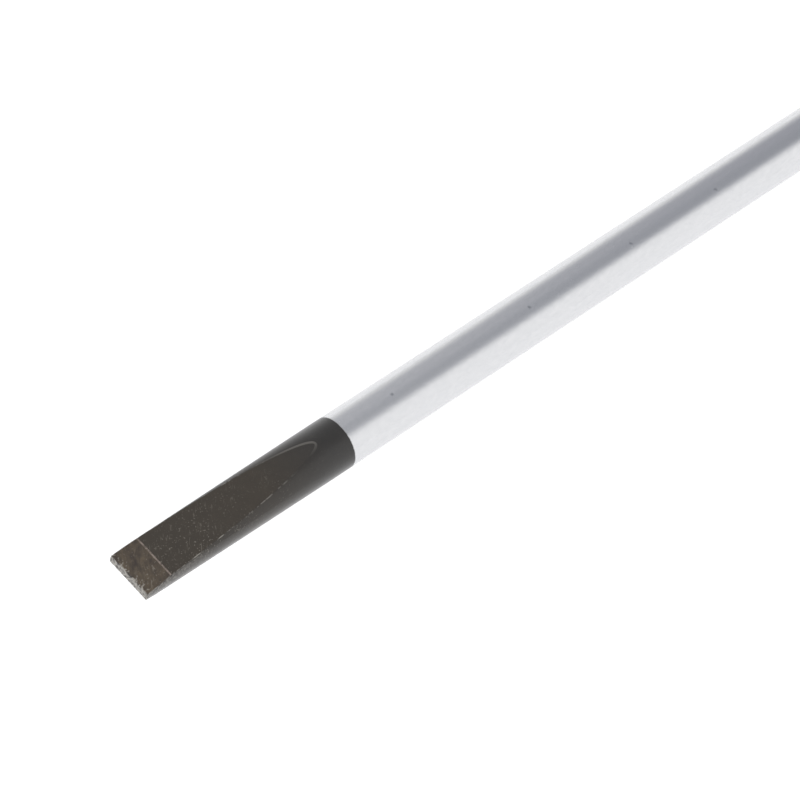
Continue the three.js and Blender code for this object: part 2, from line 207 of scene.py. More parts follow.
def split(outline: Outline, longest: float) -> Outline:
    """Cuts the long straight pieces of an outline so that none is longer than asked.

    Args:
        outline: points along the tool and out from its axis.
        longest: the longest piece that stays whole.

    Returns:
        The same outline with more points.
    """
    points = outline[:1]
    for start, end in zip(outline, outline[1:]):
        count = max(1, math.ceil(math.dist(start, end) / longest))
        for k in range(1, count + 1):
            points.append(tuple(a + (b - a) * k / count for a, b in zip(start, end)))
    return points


def hexagon(apothem: float, angle: float, corner: float = 0.0) -> float:
    """Reach of a hexagon whose flats face up and down.

    Args:
        apothem: from the middle to a flat.
        angle: direction round the tool.
        corner: radius of its corners.

    Returns:
        The distance from the axis to the hexagon.
    """
    off = abs(angle % SIXTH - SIXTH / 2)
    inner = apothem - corner
    if math.tan(off) * apothem <= inner * math.tan(SIXTH / 2):
        return apothem / math.cos(off)
    reach = inner / math.cos(SIXTH / 2)
    swing = SIXTH / 2 - off
    return reach * math.cos(swing) + math.sqrt(max(0.0, corner**2 - (reach * math.sin(swing)) ** 2))


def soft_min(first: float, second: float, blend: float) -> float:
    """The smaller of two sizes, rounded over where they meet.

    Args:
        first: one size.
        second: the other size.
        blend: the range of difference that is rounded over.

    Returns:
        The smaller size, a little less where the two are close.
    """
    near = max(0.0, 1 - abs(first - second) / blend)
    return min(first, second) - near**2 * blend / 4


def ring(x: float, reach: Callable[[float], float], count: int) -> Loop:
    """One loop of points round the tool.

    Args:
        x: place along the tool.
        reach: distance from the axis for a direction.
        count: how many points.

    Returns:
        The loop's points.
    """
    angles = [2 * math.pi * k / count for k in range(count)]
    return [Vector((x, reach(a) * math.cos(a), reach(a) * math.sin(a))) for a in angles]


def rings(outline: Outline, count: int) -> list[Loop]:
    """Round loops for each point of a turned outline.

    Args:
        outline: points along the tool and out from its axis.
        count: points in each loop.

    Returns:
        The loops in the outline's order.
    """
    return [ring(x, lambda _angle, radius=radius: radius, count) for x, radius in outline]


def bridge(
    shape: bmesh.types.BMesh, first: Sequence[bmesh.types.BMVert], second: Sequence[bmesh.types.BMVert]
) -> None:
    """Joins two closed loops of the same number of points with a belt of faces.

    Args:
        shape: the mesh under construction.
        first: corners of one loop.
        second: corners of the other loop, in the same order.
    """
    for k in range(len(first)):
        shape.faces.new((first[k - 1], first[k], second[k], second[k - 1]))


def cap_over(shape: bmesh.types.BMesh, rim: Sequence[bmesh.types.BMVert]) -> None:
    """Closes a loop with triangles to its middle.

    Args:
        shape: the mesh under construction.
        rim: corners of the loop.
    """
    middle = shape.verts.new(sum((v.co for v in rim), Vector()) / len(rim))
    for k in range(len(rim)):
        shape.faces.new((rim[k - 1], rim[k], middle))


def smooth(mesh: bpy.types.Mesh, sharp_degrees: float = 32.0) -> None:
    """Shades a mesh smooth except across its sharp edges.

    Args:
        mesh: the mesh to shade.
        sharp_degrees: the bend from which an edge stays sharp.
    """
    mesh.shade_smooth()
    mesh.set_sharp_from_angle(angle=math.radians(sharp_degrees))


def mark_bends(mesh: bpy.types.Mesh) -> None:
    """Writes how sharply a mesh bends at each point, for wear and a painted highlight on its edges and
    grime in its hollows.

    The value is in radians to the millimetre, above zero where the point stands out.

    Args:
        mesh: the finished mesh.
    """
    shape = bmesh.new()
    shape.from_mesh(mesh)
    bends = [0.0] * len(shape.verts)
    for edge in shape.edges:
        if len(edge.link_faces) == 2:
            one, two = (face.calc_center_median() for face in edge.link_faces)
            bend = edge.calc_face_angle_signed(0.0) * MM / (one - two).length
            for corner in edge.verts:
                bends[corner.index] = max(bends[corner.index], bend, key=abs)
    shape.free()
    mesh.attributes.new(Mark.BEND.value, "FLOAT", "POINT").data.foreach_set("value", bends)


def to_object(shape: bmesh.types.BMesh, name: str) -> bpy.types.Object:
    """Turns a finished construction into an object at the origin.

    Args:
        shape: the mesh under construction, in millimetres.
        name: the object's name.

    Returns:
        The new object, in the scene and in metres.
    """
    bmesh.ops.recalc_face_normals(shape, faces=shape.faces)
    bmesh.ops.scale(shape, vec=(MM, MM, MM), verts=shape.verts)
    mesh = bpy.data.meshes.new(name)
    shape.to_mesh(mesh)
    shape.free()
    smooth(mesh)
    made = bpy.data.objects.new(name, mesh)
    bpy.context.collection.objects.link(made)
    return made


def loft(name: str, loops: Sequence[Loop], ends: Ends) -> bpy.types.Object:
    """Makes a closed mesh through loops of points.

    Args:
        name: the object's name.
        loops: loops with the same number of points.
        ends: how the first and last loop are closed.

    Returns:
        The new object.
    """
    shape = bmesh.new()
    made = [[shape.verts.new(point) for point in loop] for loop in loops]
    for first, second in zip(made, made[1:]):
        bridge(shape, first, second)
    if ends is Ends.JOINED:
        bridge(shape, made[-1], made[0])
    else:
        cap_over(shape, made[0])
        cap_over(shape, made[-1])
    return to_object(shape, name)


# Geometry node trees


@dataclass
class ShapeTree:
    """A geometry node tree with named sizes, which reshapes a mesh and gives it its material.

    Attributes:
        name: the tree's name.
        sizes: the named inputs and their values, in metres where they are lengths.
    """

    name: str
    sizes: dict[str, float | int]
    tree: bpy.types.NodeTree = field(init=False)
    put: Put = field(init=False)
    size: bpy.types.NodeOutputs = field(init=False)

    def __post_init__(self) -> None:
        """Makes the empty tree with its sockets."""
        self.tree = bpy.data.node_groups.new(self.name, "GeometryNodeTree")
        face = self.tree.interface
        face.new_socket("Geometry", in_out="INPUT", socket_type="NodeSocketGeometry")
        for label, value in self.sizes.items():
            kind = "NodeSocketInt" if isinstance(value, int) else "NodeSocketFloat"
            face.new_socket(label, in_out="INPUT", socket_type=kind)
        face.new_socket("Material", in_out="INPUT", socket_type="NodeSocketMaterial")
        face.new_socket("Geometry", in_out="OUTPUT", socket_type="NodeSocketGeometry")
        self.put = partial(add_node, self.tree)
        self.size = self.put("NodeGroupInput").outputs

    def polar(self) -> tuple[bpy.types.NodeSocket, bpy.types.Node, bpy.types.Node, bpy.types.Node]:
        """Reads where each point of the mesh is.

        Returns:
            The place along the tool, the direction round it, the reach from the axis and the way out.
        """
        place = self.put("GeometryNodeInputPosition")
        x, y, z = self.put("ShaderNodeSeparateXYZ", {0: place}).outputs
        away = self.put("ShaderNodeCombineXYZ", {"Y": y, "Z": z})
        angle = self.put("ShaderNodeMath", {0: z, 1: y}, operation="ARCTAN2")
        reach = self.put("ShaderNodeVectorMath", {0: away}, operation="LENGTH")
        out = self.put("ShaderNodeVectorMath", {0: away}, operation="NORMALIZE")
        return x, angle, reach, out

    def press(self, way: bpy.types.Node, amount: bpy.types.Node) -> None:
        """Ends the tree with each point moved.

        Args:
            way: the direction in which a point moves.
            amount: how far it moves.
        """
        move = self.put("ShaderNodeVectorMath", {0: way, "Scale": amount}, operation="SCALE")
        moved = {"Geometry": self.size["Geometry"], "Offset": move}
        self.close(self.put("GeometryNodeSetPosition", moved))

    def close(self, geometry: bpy.types.Node) -> None:
        """Ends the tree: instances become real faces and take the material.

        Args:
            geometry: the node that gives the finished shape.
        """
        real = self.put("GeometryNodeRealizeInstances", {"Geometry": geometry})
        coat = {"Geometry": real, "Material": self.size["Material"]}
        dressed = self.put("GeometryNodeSetMaterial", coat)
        self.put("NodeGroupOutput", {"Geometry": dressed})

    def apply(self, made: bpy.types.Object, material: bpy.types.Material) -> None:
        """Runs the tree on an object and keeps the result as its plain mesh.

        Args:
            made: the object to reshape.
            material: what its faces take.
        """
        step = made.modifiers.new(self.name, "NODES")
        step.node_group = self.tree
        values = {**self.sizes, "Material": material}
        for socket in self.tree.interface.items_tree:
            if socket.in_out == "INPUT" and socket.name in values:
                step[socket.identifier] = values[socket.name]
        seen = made.evaluated_get(bpy.context.evaluated_depsgraph_get())
        mesh = bpy.data.meshes.new_from_object(seen)
        made.modifiers.remove(step)
        rough = made.data
        made.data = mesh
        bpy.data.meshes.remove(rough)
        mesh.name = made.name
        smooth(mesh)


# Finishes


@dataclass(frozen=True)
class BladeSteel:
    """Chrome-plated tool steel: a satin shaft, and a ground tip under a skin of black oxide.

    Satin plate mirrors its surroundings softly, a little mottled, with a few nicks. Black oxide is a thin
    dark skin with a low gloss, browner on the ground faces. It shows specks and short scratches, and
    rubs through to the steel along the ground edges and at the working end. The pale broken line along
    the ground edges is partly worn steel and partly a painted glint, with a painted highlight near the
    top of each facet.

    Attributes:
        plate: the plate's colour, and after it the colours of its dull patches and nicks.
        oxide: the oxide's colour, and after it its colours on the facets and on the end wedge.
        speck: the colour of specks, and after it the colours of the wedge line and of bare steel, which
            also paints the glint along the ground edges.
        oxide_end: where the blackened zone ends.
        wedge_end: where the end wedge meets the long facets.
        stroke_angle: direction of the grinding strokes, in degrees from the blade's length.
        radius: the shaft's radius.
        relief: depth of its scratches and grain.
        nicks: places along the shaft and directions round it, in degrees.
    """

    plate: str = "D9D9DA"
    plate_dull: str = "CECFD1"
    nick: str = "B0B2B5"
    oxide: str = "2B2927"
    ground: str = "383128"
    wedge_dark: str = "342B25"
    wedge_pale: str = "574B3B"
    speck: str = "8E897F"
    ridge: str = "8E8178"
    bare: str = "B5B1A9"
    oxide_end: float = 16.5
    wedge_end: float = 1.85
    stroke_angle: float = 54.0
    radius: float = 1.75
    relief: float = 0.012
    nicks: tuple[tuple[float, float], ...] = (
        (20.7, 91.0),
        (32.4, 96.0),
        (41.4, 100.0),
        (49.2, 102.0),
        (27.0, 210.0),
        (38.0, 300.0),
        (58.0, 20.0),
        (66.0, 250.0),
    )

    def material(self) -> bpy.types.Material:
        """Builds the material of the whole blade.

        Returns:
            The new material.
        """
        material, put, point = start_material("Tool steel, satin chrome plate and black oxide")
        along, across, _ = put("ShaderNodeSeparateXYZ", {0: point}).outputs
        ground = put("ShaderNodeAttribute", attribute_name=Mark.GROUND.value).outputs["Fac"]
        grain = put("ShaderNodeTexNoise", {"Vector": point, "Scale": 9.0})
        turn = (0.0, 0.0, math.radians(self.stroke_angle))
        lie = {"Vector": point, "Rotation": turn, "Scale": (0.55, 0.12, 0.12)}
        strokes = put("ShaderNodeMapping", lie, vector_type="TEXTURE")
        drawn = {"Vector": strokes, "Scale": 1.0, "Detail": 4.0, "Distortion": 0.7}
        strokes = put("ShaderNodeTexNoise", drawn)

        # The blackened zone ends in a slightly uneven line, the end wedge in a straight one
        uneven = {0: grain, 1: 0.1, 2: along}
        place = put("ShaderNodeMath", uneven, operation="MULTIPLY_ADD")
        limit = {"Value": place, "From Min": self.oxide_end + 0.08, "From Max": self.oxide_end + 0.02}
        oxide = put("ShaderNodeMapRange", limit)
        limit = {"Value": along, "From Min": self.wedge_end + 0.03, "From Max": self.wedge_end - 0.03}
        wedge = put("ShaderNodeMapRange", limit)
        wedge = put("ShaderNodeMath", {0: wedge, 1: ground}, operation="MULTIPLY")

        # The bare-steel share also carries a painted glint along the ground edges and a painted highlight
        # near the facet's top
        bared = self.bared(put, point, along, across, ground)
        skin = self.skin(put, point, along, across, ground, wedge, strokes)
        worn = {"Factor": bared, "A": skin, "B": linear(self.bare)}
        skin = put("ShaderNodeMix", worn, data_type="RGBA")
        mottle = put("ShaderNodeMapping", {"Vector": point, "Scale": (0.5, 1.0, 1.0)})
        mottle = put("ShaderNodeTexNoise", {"Vector": mottle, "Scale": 4.0, "Detail": 3.0})
        shine = self.shine(put, point, mottle)

        colour = put("ShaderNodeMix", {"Factor": oxide, "A": shine, "B": skin}, data_type="RGBA")
        bright = put("ShaderNodeMath", {0: bared, 1: 0.8}, operation="MULTIPLY")
        metal = put("ShaderNodeMix", {"Factor": oxide, "A": 1.0, "B": bright})
        satin = put("ShaderNodeMapRange", {"Value": mottle, "To Min": 0.2, "To Max": 0.3})
        low = {"Value": grain, "From Min": 0.2, "From Max": 0.8, "To Min": 0.3, "To Max": 0.43}
        dull = put("ShaderNodeMapRange", low)
        gloss = put("ShaderNodeMix", {"Factor": oxide, "A": satin, "B": dull})
        faint = put("ShaderNodeMath", {0: mottle, 1: 0.4}, operation="MULTIPLY")
        calm = put("ShaderNodeMath", {0: grain, 1: 0.4}, operation="MULTIPLY")
        marks = put("ShaderNodeMix", {"Factor": wedge, "A": calm, "B": strokes})
        height = put("ShaderNodeMix", {"Factor": oxide, "A": faint, "B": marks})
        relief = put("ShaderNodeBump", {"Height": height, "Distance": self.relief * MM})
        made = {"Base Color": colour, "Metallic": metal, "Roughness": gloss, "Normal": relief}

        # Rust-proofing oil on the blade brightens its sides where they turn away
        film = {"Specular IOR Level": 0.42, "Sheen Weight": 0.6, "Sheen Roughness": 0.36}
        finish_material(material, {**made, **film})
        return material

    def bared(
        self,
        put: Put,
        point: bpy.types.Node,
        along: bpy.types.NodeSocket,
        across: bpy.types.NodeSocket,
        ground: bpy.types.NodeSocket,
    ) -> bpy.types.Node:
        """Where the steel shows through: broken stretches of edges, scuffed sides and the chipped end.
        Along the ground edges the pale broken line is partly a painted glint.

        Args:
            put: adds a node to the material.
            point: the place on the blade in millimetres.
            along: the distance from the working end.
            across: the distance to one side of the blade's middle.
            ground: one on the ground faces and nought elsewhere.

        Returns:
            The share of bare steel, with the painted glint and highlight along the ground edges.
        """
        worn = put("ShaderNodeAttribute", attribute_name=Mark.WORN.value).outputs["Fac"]
        # Broken stretches of the edge strips go pale: partly worn steel, partly a painted glint
        patch = put("ShaderNodeTexNoise", {"Vector": point, "Scale": 2.4, "Detail": 4.0})
        broken = {"Value": patch, "From Min": 0.5, "From Max": 0.66}
        weaker = {"Value": along, "From Min": 12.5, "From Max": 8.5, "To Max": 0.5}
        rubbed = worn
        for limits in (broken, weaker):
            share = put("ShaderNodeMapRange", limits)
            rubbed = put("ShaderNodeMath", {0: rubbed, 1: share}, operation="MULTIPLY")

        # A painted highlight: where the facet runs out on the round, its edge is painted soft and pale on
        # the half towards +Y
        upper = {"Value": along, "From Min": 10.0, "From Max": 13.0}
        half = {"Value": across, "From Min": -0.5, "From Max": 0.2, "To Max": 0.2}
        soft = worn
        for limits in (upper, half):
            share = put("ShaderNodeMapRange", limits)
            soft = put("ShaderNodeMath", {0: soft, 1: share}, operation="MULTIPLY")
        rubbed = put("ShaderNodeMath", {0: rubbed, 1: soft}, operation="MAXIMUM")

        # Chips cover most of the end face and get rarer with the distance from it
        ragged = put("ShaderNodeTexNoise", {"Vector": point, "Scale": 5.5, "Detail": 3.0})
        nearer = put("ShaderNodeMath", {0: along, 1: -0.5, 2: ragged}, operation="MULTIPLY_ADD")
        flat = {"Value": along, "From Min": 0.02, "From Max": 0.0, "To Max": 0.06}
        flat = put("ShaderNodeMapRange", flat)
        nearer = put("ShaderNodeMath", {0: nearer, 1: flat}, operation="ADD")
        chips = {"Value": nearer, "From Min": 0.46, "From Max": 0.6, "To Max": 0.7}
        chips = put("ShaderNodeMapRange", chips)
        rubbed = put("ShaderNodeMath", {0: rubbed, 1: chips}, operation="MAXIMUM")

        # The round sides are scuffed near the end, in specks
        close = {"Value": along, "From Min": 5.0, "From Max": 0.8}
        specks = {"Value": ragged, "From Min": 0.44, "From Max": 0.62}
        scuffs = put("ShaderNodeMapRange", {"Value": ground, "To Min": 0.36, "To Max": 0.0})
        for limits in (close, specks):
            share = put("ShaderNodeMapRange", limits)
            scuffs = put("ShaderNodeMath", {0: scuffs, 1: share}, operation="MULTIPLY")
        return put("ShaderNodeMath", {0: rubbed, 1: scuffs}, operation="MAXIMUM")

    def skin(
        self,
        put: Put,
        point: bpy.types.Node,
        along: bpy.types.NodeSocket,
        across: bpy.types.NodeSocket,
        ground: bpy.types.NodeSocket,
        wedge: bpy.types.Node,
        strokes: bpy.types.Node,
    ) -> bpy.types.Node:
        """The oxide's colour: neutral at its upper end, browner towards the tip, brown on the wedge.

        Specks and scratches finer than a pixel are drawn about a pixel wide, so that they show.

        Args:
            put: adds a node to the material.
            point: the place on the blade in millimetres.
            along: the distance from the working end.
            across: the distance to one side of the blade's middle.
            ground: one on the ground faces and nought elsewhere.
            wedge: one on the end wedge and nought elsewhere.
            strokes: the marks of the grinding wheel.

        Returns:
            The colour where no steel shows through.
        """
        most = put("ShaderNodeMapRange", {"Value": ground, "To Min": 0.55})
        warm = {"Value": along, "From Min": 15.0, "From Max": 10.0, "To Max": most}
        lower = put("ShaderNodeMapRange", warm)
        skin = {"Factor": lower, "A": linear(self.oxide), "B": linear(self.ground)}
        skin = put("ShaderNodeMix", skin, data_type="RGBA")
        cloud = {"Vector": point, "Scale": 1.6, "Detail": 6.0, "Roughness": 0.7}
        cloud = put("ShaderNodeTexNoise", cloud)
        tone = {"Value": cloud, "From Min": 0.25, "From Max": 0.75, "To Min": 0.88, "To Max": 1.12}
        tone = put("ShaderNodeMapRange", tone)
        skin = put("ShaderNodeHueSaturation", {"Color": skin, "Value": tone})
        blotch = put("ShaderNodeTexNoise", {"Vector": point, "Scale": 1.7, "Detail": 3.0})
        both = put("ShaderNodeMix", {"Factor": 0.35, "A": blotch, "B": strokes})
        share = put("ShaderNodeMapRange", {"Value": both, "From Min": 0.35, "From Max": 0.65})
        brown = {"Factor": share, "A": linear(self.wedge_dark), "B": linear(self.wedge_pale)}
        brown = put("ShaderNodeMix", brown, data_type="RGBA")
        skin = put("ShaderNodeMix", {"Factor": wedge, "A": skin, "B": brown}, data_type="RGBA")

        # Specks and scratches lie in loose groups, most of them on the near half and towards the tip
        fine = put("ShaderNodeTexNoise", {"Vector": point, "Scale": 9.0, "Detail": 0.0})
        dots = put("ShaderNodeMapRange", {"Value": fine, "From Min": 0.68, "From Max": 0.8})
        cuts = put("ShaderNodeMapRange", {"Value": strokes, "From Min": 0.6, "From Max": 0.74})
        marks = put("ShaderNodeMath", {0: dots, 1: cuts}, operation="MAXIMUM")
        slow = put("ShaderNodeTexNoise", {"Vector": point, "Scale": 0.6})
        group = {"Value": slow, "From Min": 0.34, "From Max": 0.58, "To Max": 0.45}
        nearer = {"Value": across, "From Min": 1.3, "From Max": -0.4, "To Min": 0.45}
        fewer = {"Value": along, "From Min": 12.0, "From Max": 7.0, "To Min": 0.1}
        for limits in (group, nearer, fewer):
            share = put("ShaderNodeMapRange", limits)
            marks = put("ShaderNodeMath", {0: marks, 1: share}, operation="MULTIPLY")
        marked = {"Factor": marks, "A": skin, "B": linear(self.speck)}
        skin = put("ShaderNodeMix", marked, data_type="RGBA")

        # The line between wedge and facet is rubbed pale all across
        ridge = put("ShaderNodeAttribute", attribute_name=Mark.RIDGE.value).outputs["Fac"]
        uneven = {"Value": fine, "From Min": 0.3, "From Max": 0.6, "To Min": 0.3}
        uneven = put("ShaderNodeMapRange", uneven)
        line = put("ShaderNodeMath", {0: ridge, 1: uneven}, operation="MULTIPLY")
        lined = {"Factor": line, "A": skin, "B": linear(self.ridge)}
        return put("ShaderNodeMix", lined, data_type="RGBA")

    def shine(self, put: Put, point: bpy.types.Node, mottle: bpy.types.Node) -> bpy.types.Node:
        """The plate's colour, mottled and with a few nicks.

        Args:
            put: adds a node to the material.
            point: the place on the blade in millimetres.
            mottle: slow variation of the plate.

        Returns:
            The colour of the plated shaft.
        """
        shine = {"Factor": mottle, "A": linear(self.plate), "B": linear(self.plate_dull)}
        shine = put("ShaderNodeMix", shine, data_type="RGBA")

        # Each nick is ragged, about a fifth of a millimetre across
        ragged = put("ShaderNodeTexNoise", {"Vector": point, "Scale": 6.0}).outputs["Color"]
        shift = put("ShaderNodeVectorMath", {0: ragged, 1: (0.5, 0.5, 0.5)}, operation="SUBTRACT")
        place = {0: shift, 1: (0.3, 0.3, 0.3), 2: point}
        place = put("ShaderNodeVectorMath", place, operation="MULTIPLY_ADD")
        nearest = 1.0
        for x, angle in self.nicks:
            turn = math.radians(angle)
            middle = (x, self.radius * math.cos(turn), self.radius * math.sin(turn))
            away = put("ShaderNodeVectorMath", {0: place, 1: middle}, operation="DISTANCE")
            nearest = put("ShaderNodeMath", {0: nearest, 1: away}, operation="MINIMUM")
        inside = put("ShaderNodeMapRange", {"Value": nearest, "From Min": 0.14, "From Max": 0.06})
        nicked = {"Factor": inside, "A": shine, "B": linear(self.nick)}
        return put("ShaderNodeMix", nicked, data_type="RGBA")


@dataclass(frozen=True)
class MouldedPolymer:
    """A moulded polymer, hard or soft, with the grain of its spark-eroded mould.

    The grain breaks up the gloss, which varies a little with the flow of the melt. It is drawn somewhat
    coarser than real, so that it shows. Handling leaves faint paler scuffs, and the edges that stand out
    are paler still, partly from wear and partly as a painted highlight. Grime stays in the hollows.

    Attributes:
        name: the polymer and how its surface was made.
        colour: the polymer's own colour.
        pale: the colour of its scuffs, and of its edges, where it is partly a painted highlight.
        roughness: from mirror at zero to chalk at one.
        grain: features of the grain to the millimetre.
        relief: depth of the grain.
        grime: the colour of what stays in its hollows.
    """

    name: str
    colour: str
    pale: str
    roughness: float
    grain: float
    relief: float
    grime: str = "5B564E"

    def material(self) -> bpy.types.Material:
        """Builds the material.

        Returns:
            The new material.
        """
        material, put, point = start_material(self.name)
        bend = put("ShaderNodeAttribute", attribute_name=Mark.BEND.value).outputs["Fac"]
        grain = put("ShaderNodeTexNoise", {"Vector": point, "Scale": self.grain})
        flow = put("ShaderNodeTexNoise", {"Vector": point, "Scale": 0.22, "Detail": 3.0})
        scuff = put("ShaderNodeTexNoise", {"Vector": point, "Scale": 1.1, "Detail": 5.0})
        worn = {"Value": scuff, "From Min": 0.5, "From Max": 0.75, "To Max": 0.18}
        share = put("ShaderNodeMapRange", worn)

        # Standing edges are paler in patches: partly wear, partly a painted highlight
        edge = put("ShaderNodeMapRange", {"Value": bend, "From Min": 1.0, "From Max": 3.0})
        patchy = {"Value": scuff, "From Min": 0.35, "From Max": 0.6, "To Min": 0.2}
        patchy = put("ShaderNodeMapRange", patchy)
        edge = put("ShaderNodeMath", {0: edge, 1: patchy}, operation="MULTIPLY")
        share = put("ShaderNodeMath", {0: share, 1: edge}, operation="MAXIMUM")
        tint = {"Factor": share, "A": linear(self.colour), "B": linear(self.pale)}
        colour = put("ShaderNodeMix", tint, data_type="RGBA")

        # Hollows keep some of the grime of the hand
        hollow = {"Value": bend, "From Min": -1.0, "From Max": -4.0, "To Max": 0.5}
        hollow = put("ShaderNodeMapRange", hollow)
        tint = {"Factor": hollow, "A": colour, "B": linear(self.grime)}
        colour = put("ShaderNodeMix", tint, data_type="RGBA")
        low, high = self.roughness - 0.05, self.roughness + 0.05
        spread = {"Value": flow, "From Min": 0.3, "From Max": 0.7, "To Min": low, "To Max": high}
        gloss = put("ShaderNodeMapRange", spread)
        relief = put("ShaderNodeBump", {"Height": grain, "Distance": self.relief * MM})
        finish_material(material, {"Base Color": colour, "Roughness": gloss, "Normal": relief})
        return material


@dataclass(frozen=True)
class TurnedMetal:
    """A bare metal with the fine rings that a lathe tool leaves round the axis.

    Attributes:
        name: the metal and how its surface was made.
        colour: the metal's own colour.
        dull: its colour where it has tarnished.
        roughness: from mirror at zero to chalk at one.
        feed: distance between the tool's rings.
        relief: depth of the rings.
    """

    name: str
    colour: str
    dull: str
    roughness: float
    feed: float
    relief: float = 0.01

    def material(self) -> bpy.types.Material:
        """Builds the material.

        Returns:
            The new material.
        """
        material, put, point = start_material(self.name)
        stain = put("ShaderNodeTexNoise", {"Vector": point, "Scale": 0.8, "Detail": 4.0})
        tint = {"Factor": stain, "A": linear(self.colour), "B": linear(self.dull)}
        colour = put("ShaderNodeMix", tint, data_type="RGBA")
        lathe = {"Vector": point, "Scale": math.pi / (10 * self.feed), "Distortion": 0.4}
        marks = put("ShaderNodeTexWave", lathe, bands_direction="X").outputs["Fac"]
        rings_cut = {"Height": marks, "Distance": self.relief * MM, "Strength": 0.5}
        relief = put("ShaderNodeBump", rings_cut)
        made = {"Base Color": colour, "Metallic": 1.0, "Roughness": self.roughness, "Normal": relief}
        finish_material(material, made)
        return material


# Polypropylene is waxy and dull, with soft highlights
CORE_PLASTIC = MouldedPolymer("Polypropylene, moulded matt", "34373B", "4A4D51", 0.5, 6.0, 0.012)
# ABS takes a clear even colour and a satin gloss
ACCENT_PLASTIC = MouldedPolymer("ABS, moulded satin", "24567F", "5A87AB", 0.32, 7.0, 0.008)
# Thermoplastic rubber is matt and grips dust, so it greys where it is handled
SOFT_RUBBER = MouldedPolymer("Thermoplastic rubber, moulded matt", "1D1E20", "34353A", 0.72, 8.0, 0.02)
# Acetal is milky and slick
ACETAL = MouldedPolymer("Acetal, moulded natural", "E6E4DC", "EFEDE6", 0.4, 5.0, 0.004)
# Turned steel shows fine bright rings
PIN_STEEL = TurnedMetal("Stainless steel, turned", "A8ABB0", "8E9196", 0.3, 0.08)
# Sintered bronze is granular, brownish and a little oily
BUSH_BRONZE = TurnedMetal("Bronze, sintered", "A47A45", "84602F", 0.45, 0.15)


# Pieces


def hand_over(
    made: bpy.types.Object, body: Body, material: bpy.types.Material | None = None
) -> None:
    """Gives a finished piece its material, its place in the frame and its line in the log.

    Args:
        made: the piece, named for the solid that it stands for.
        body: the body that it moves with.
        material: what it wears, or nothing where its faces have theirs already.
    """
    node = made.name.removesuffix("_dressed")
    if material:
        made.data.materials.append(material)
    mark_bends(made.data)
    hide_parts(node)
    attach(made, body.value)
    LOG.info("%s: %d faces, on %s", made.name, len(made.data.polygons), body.value)


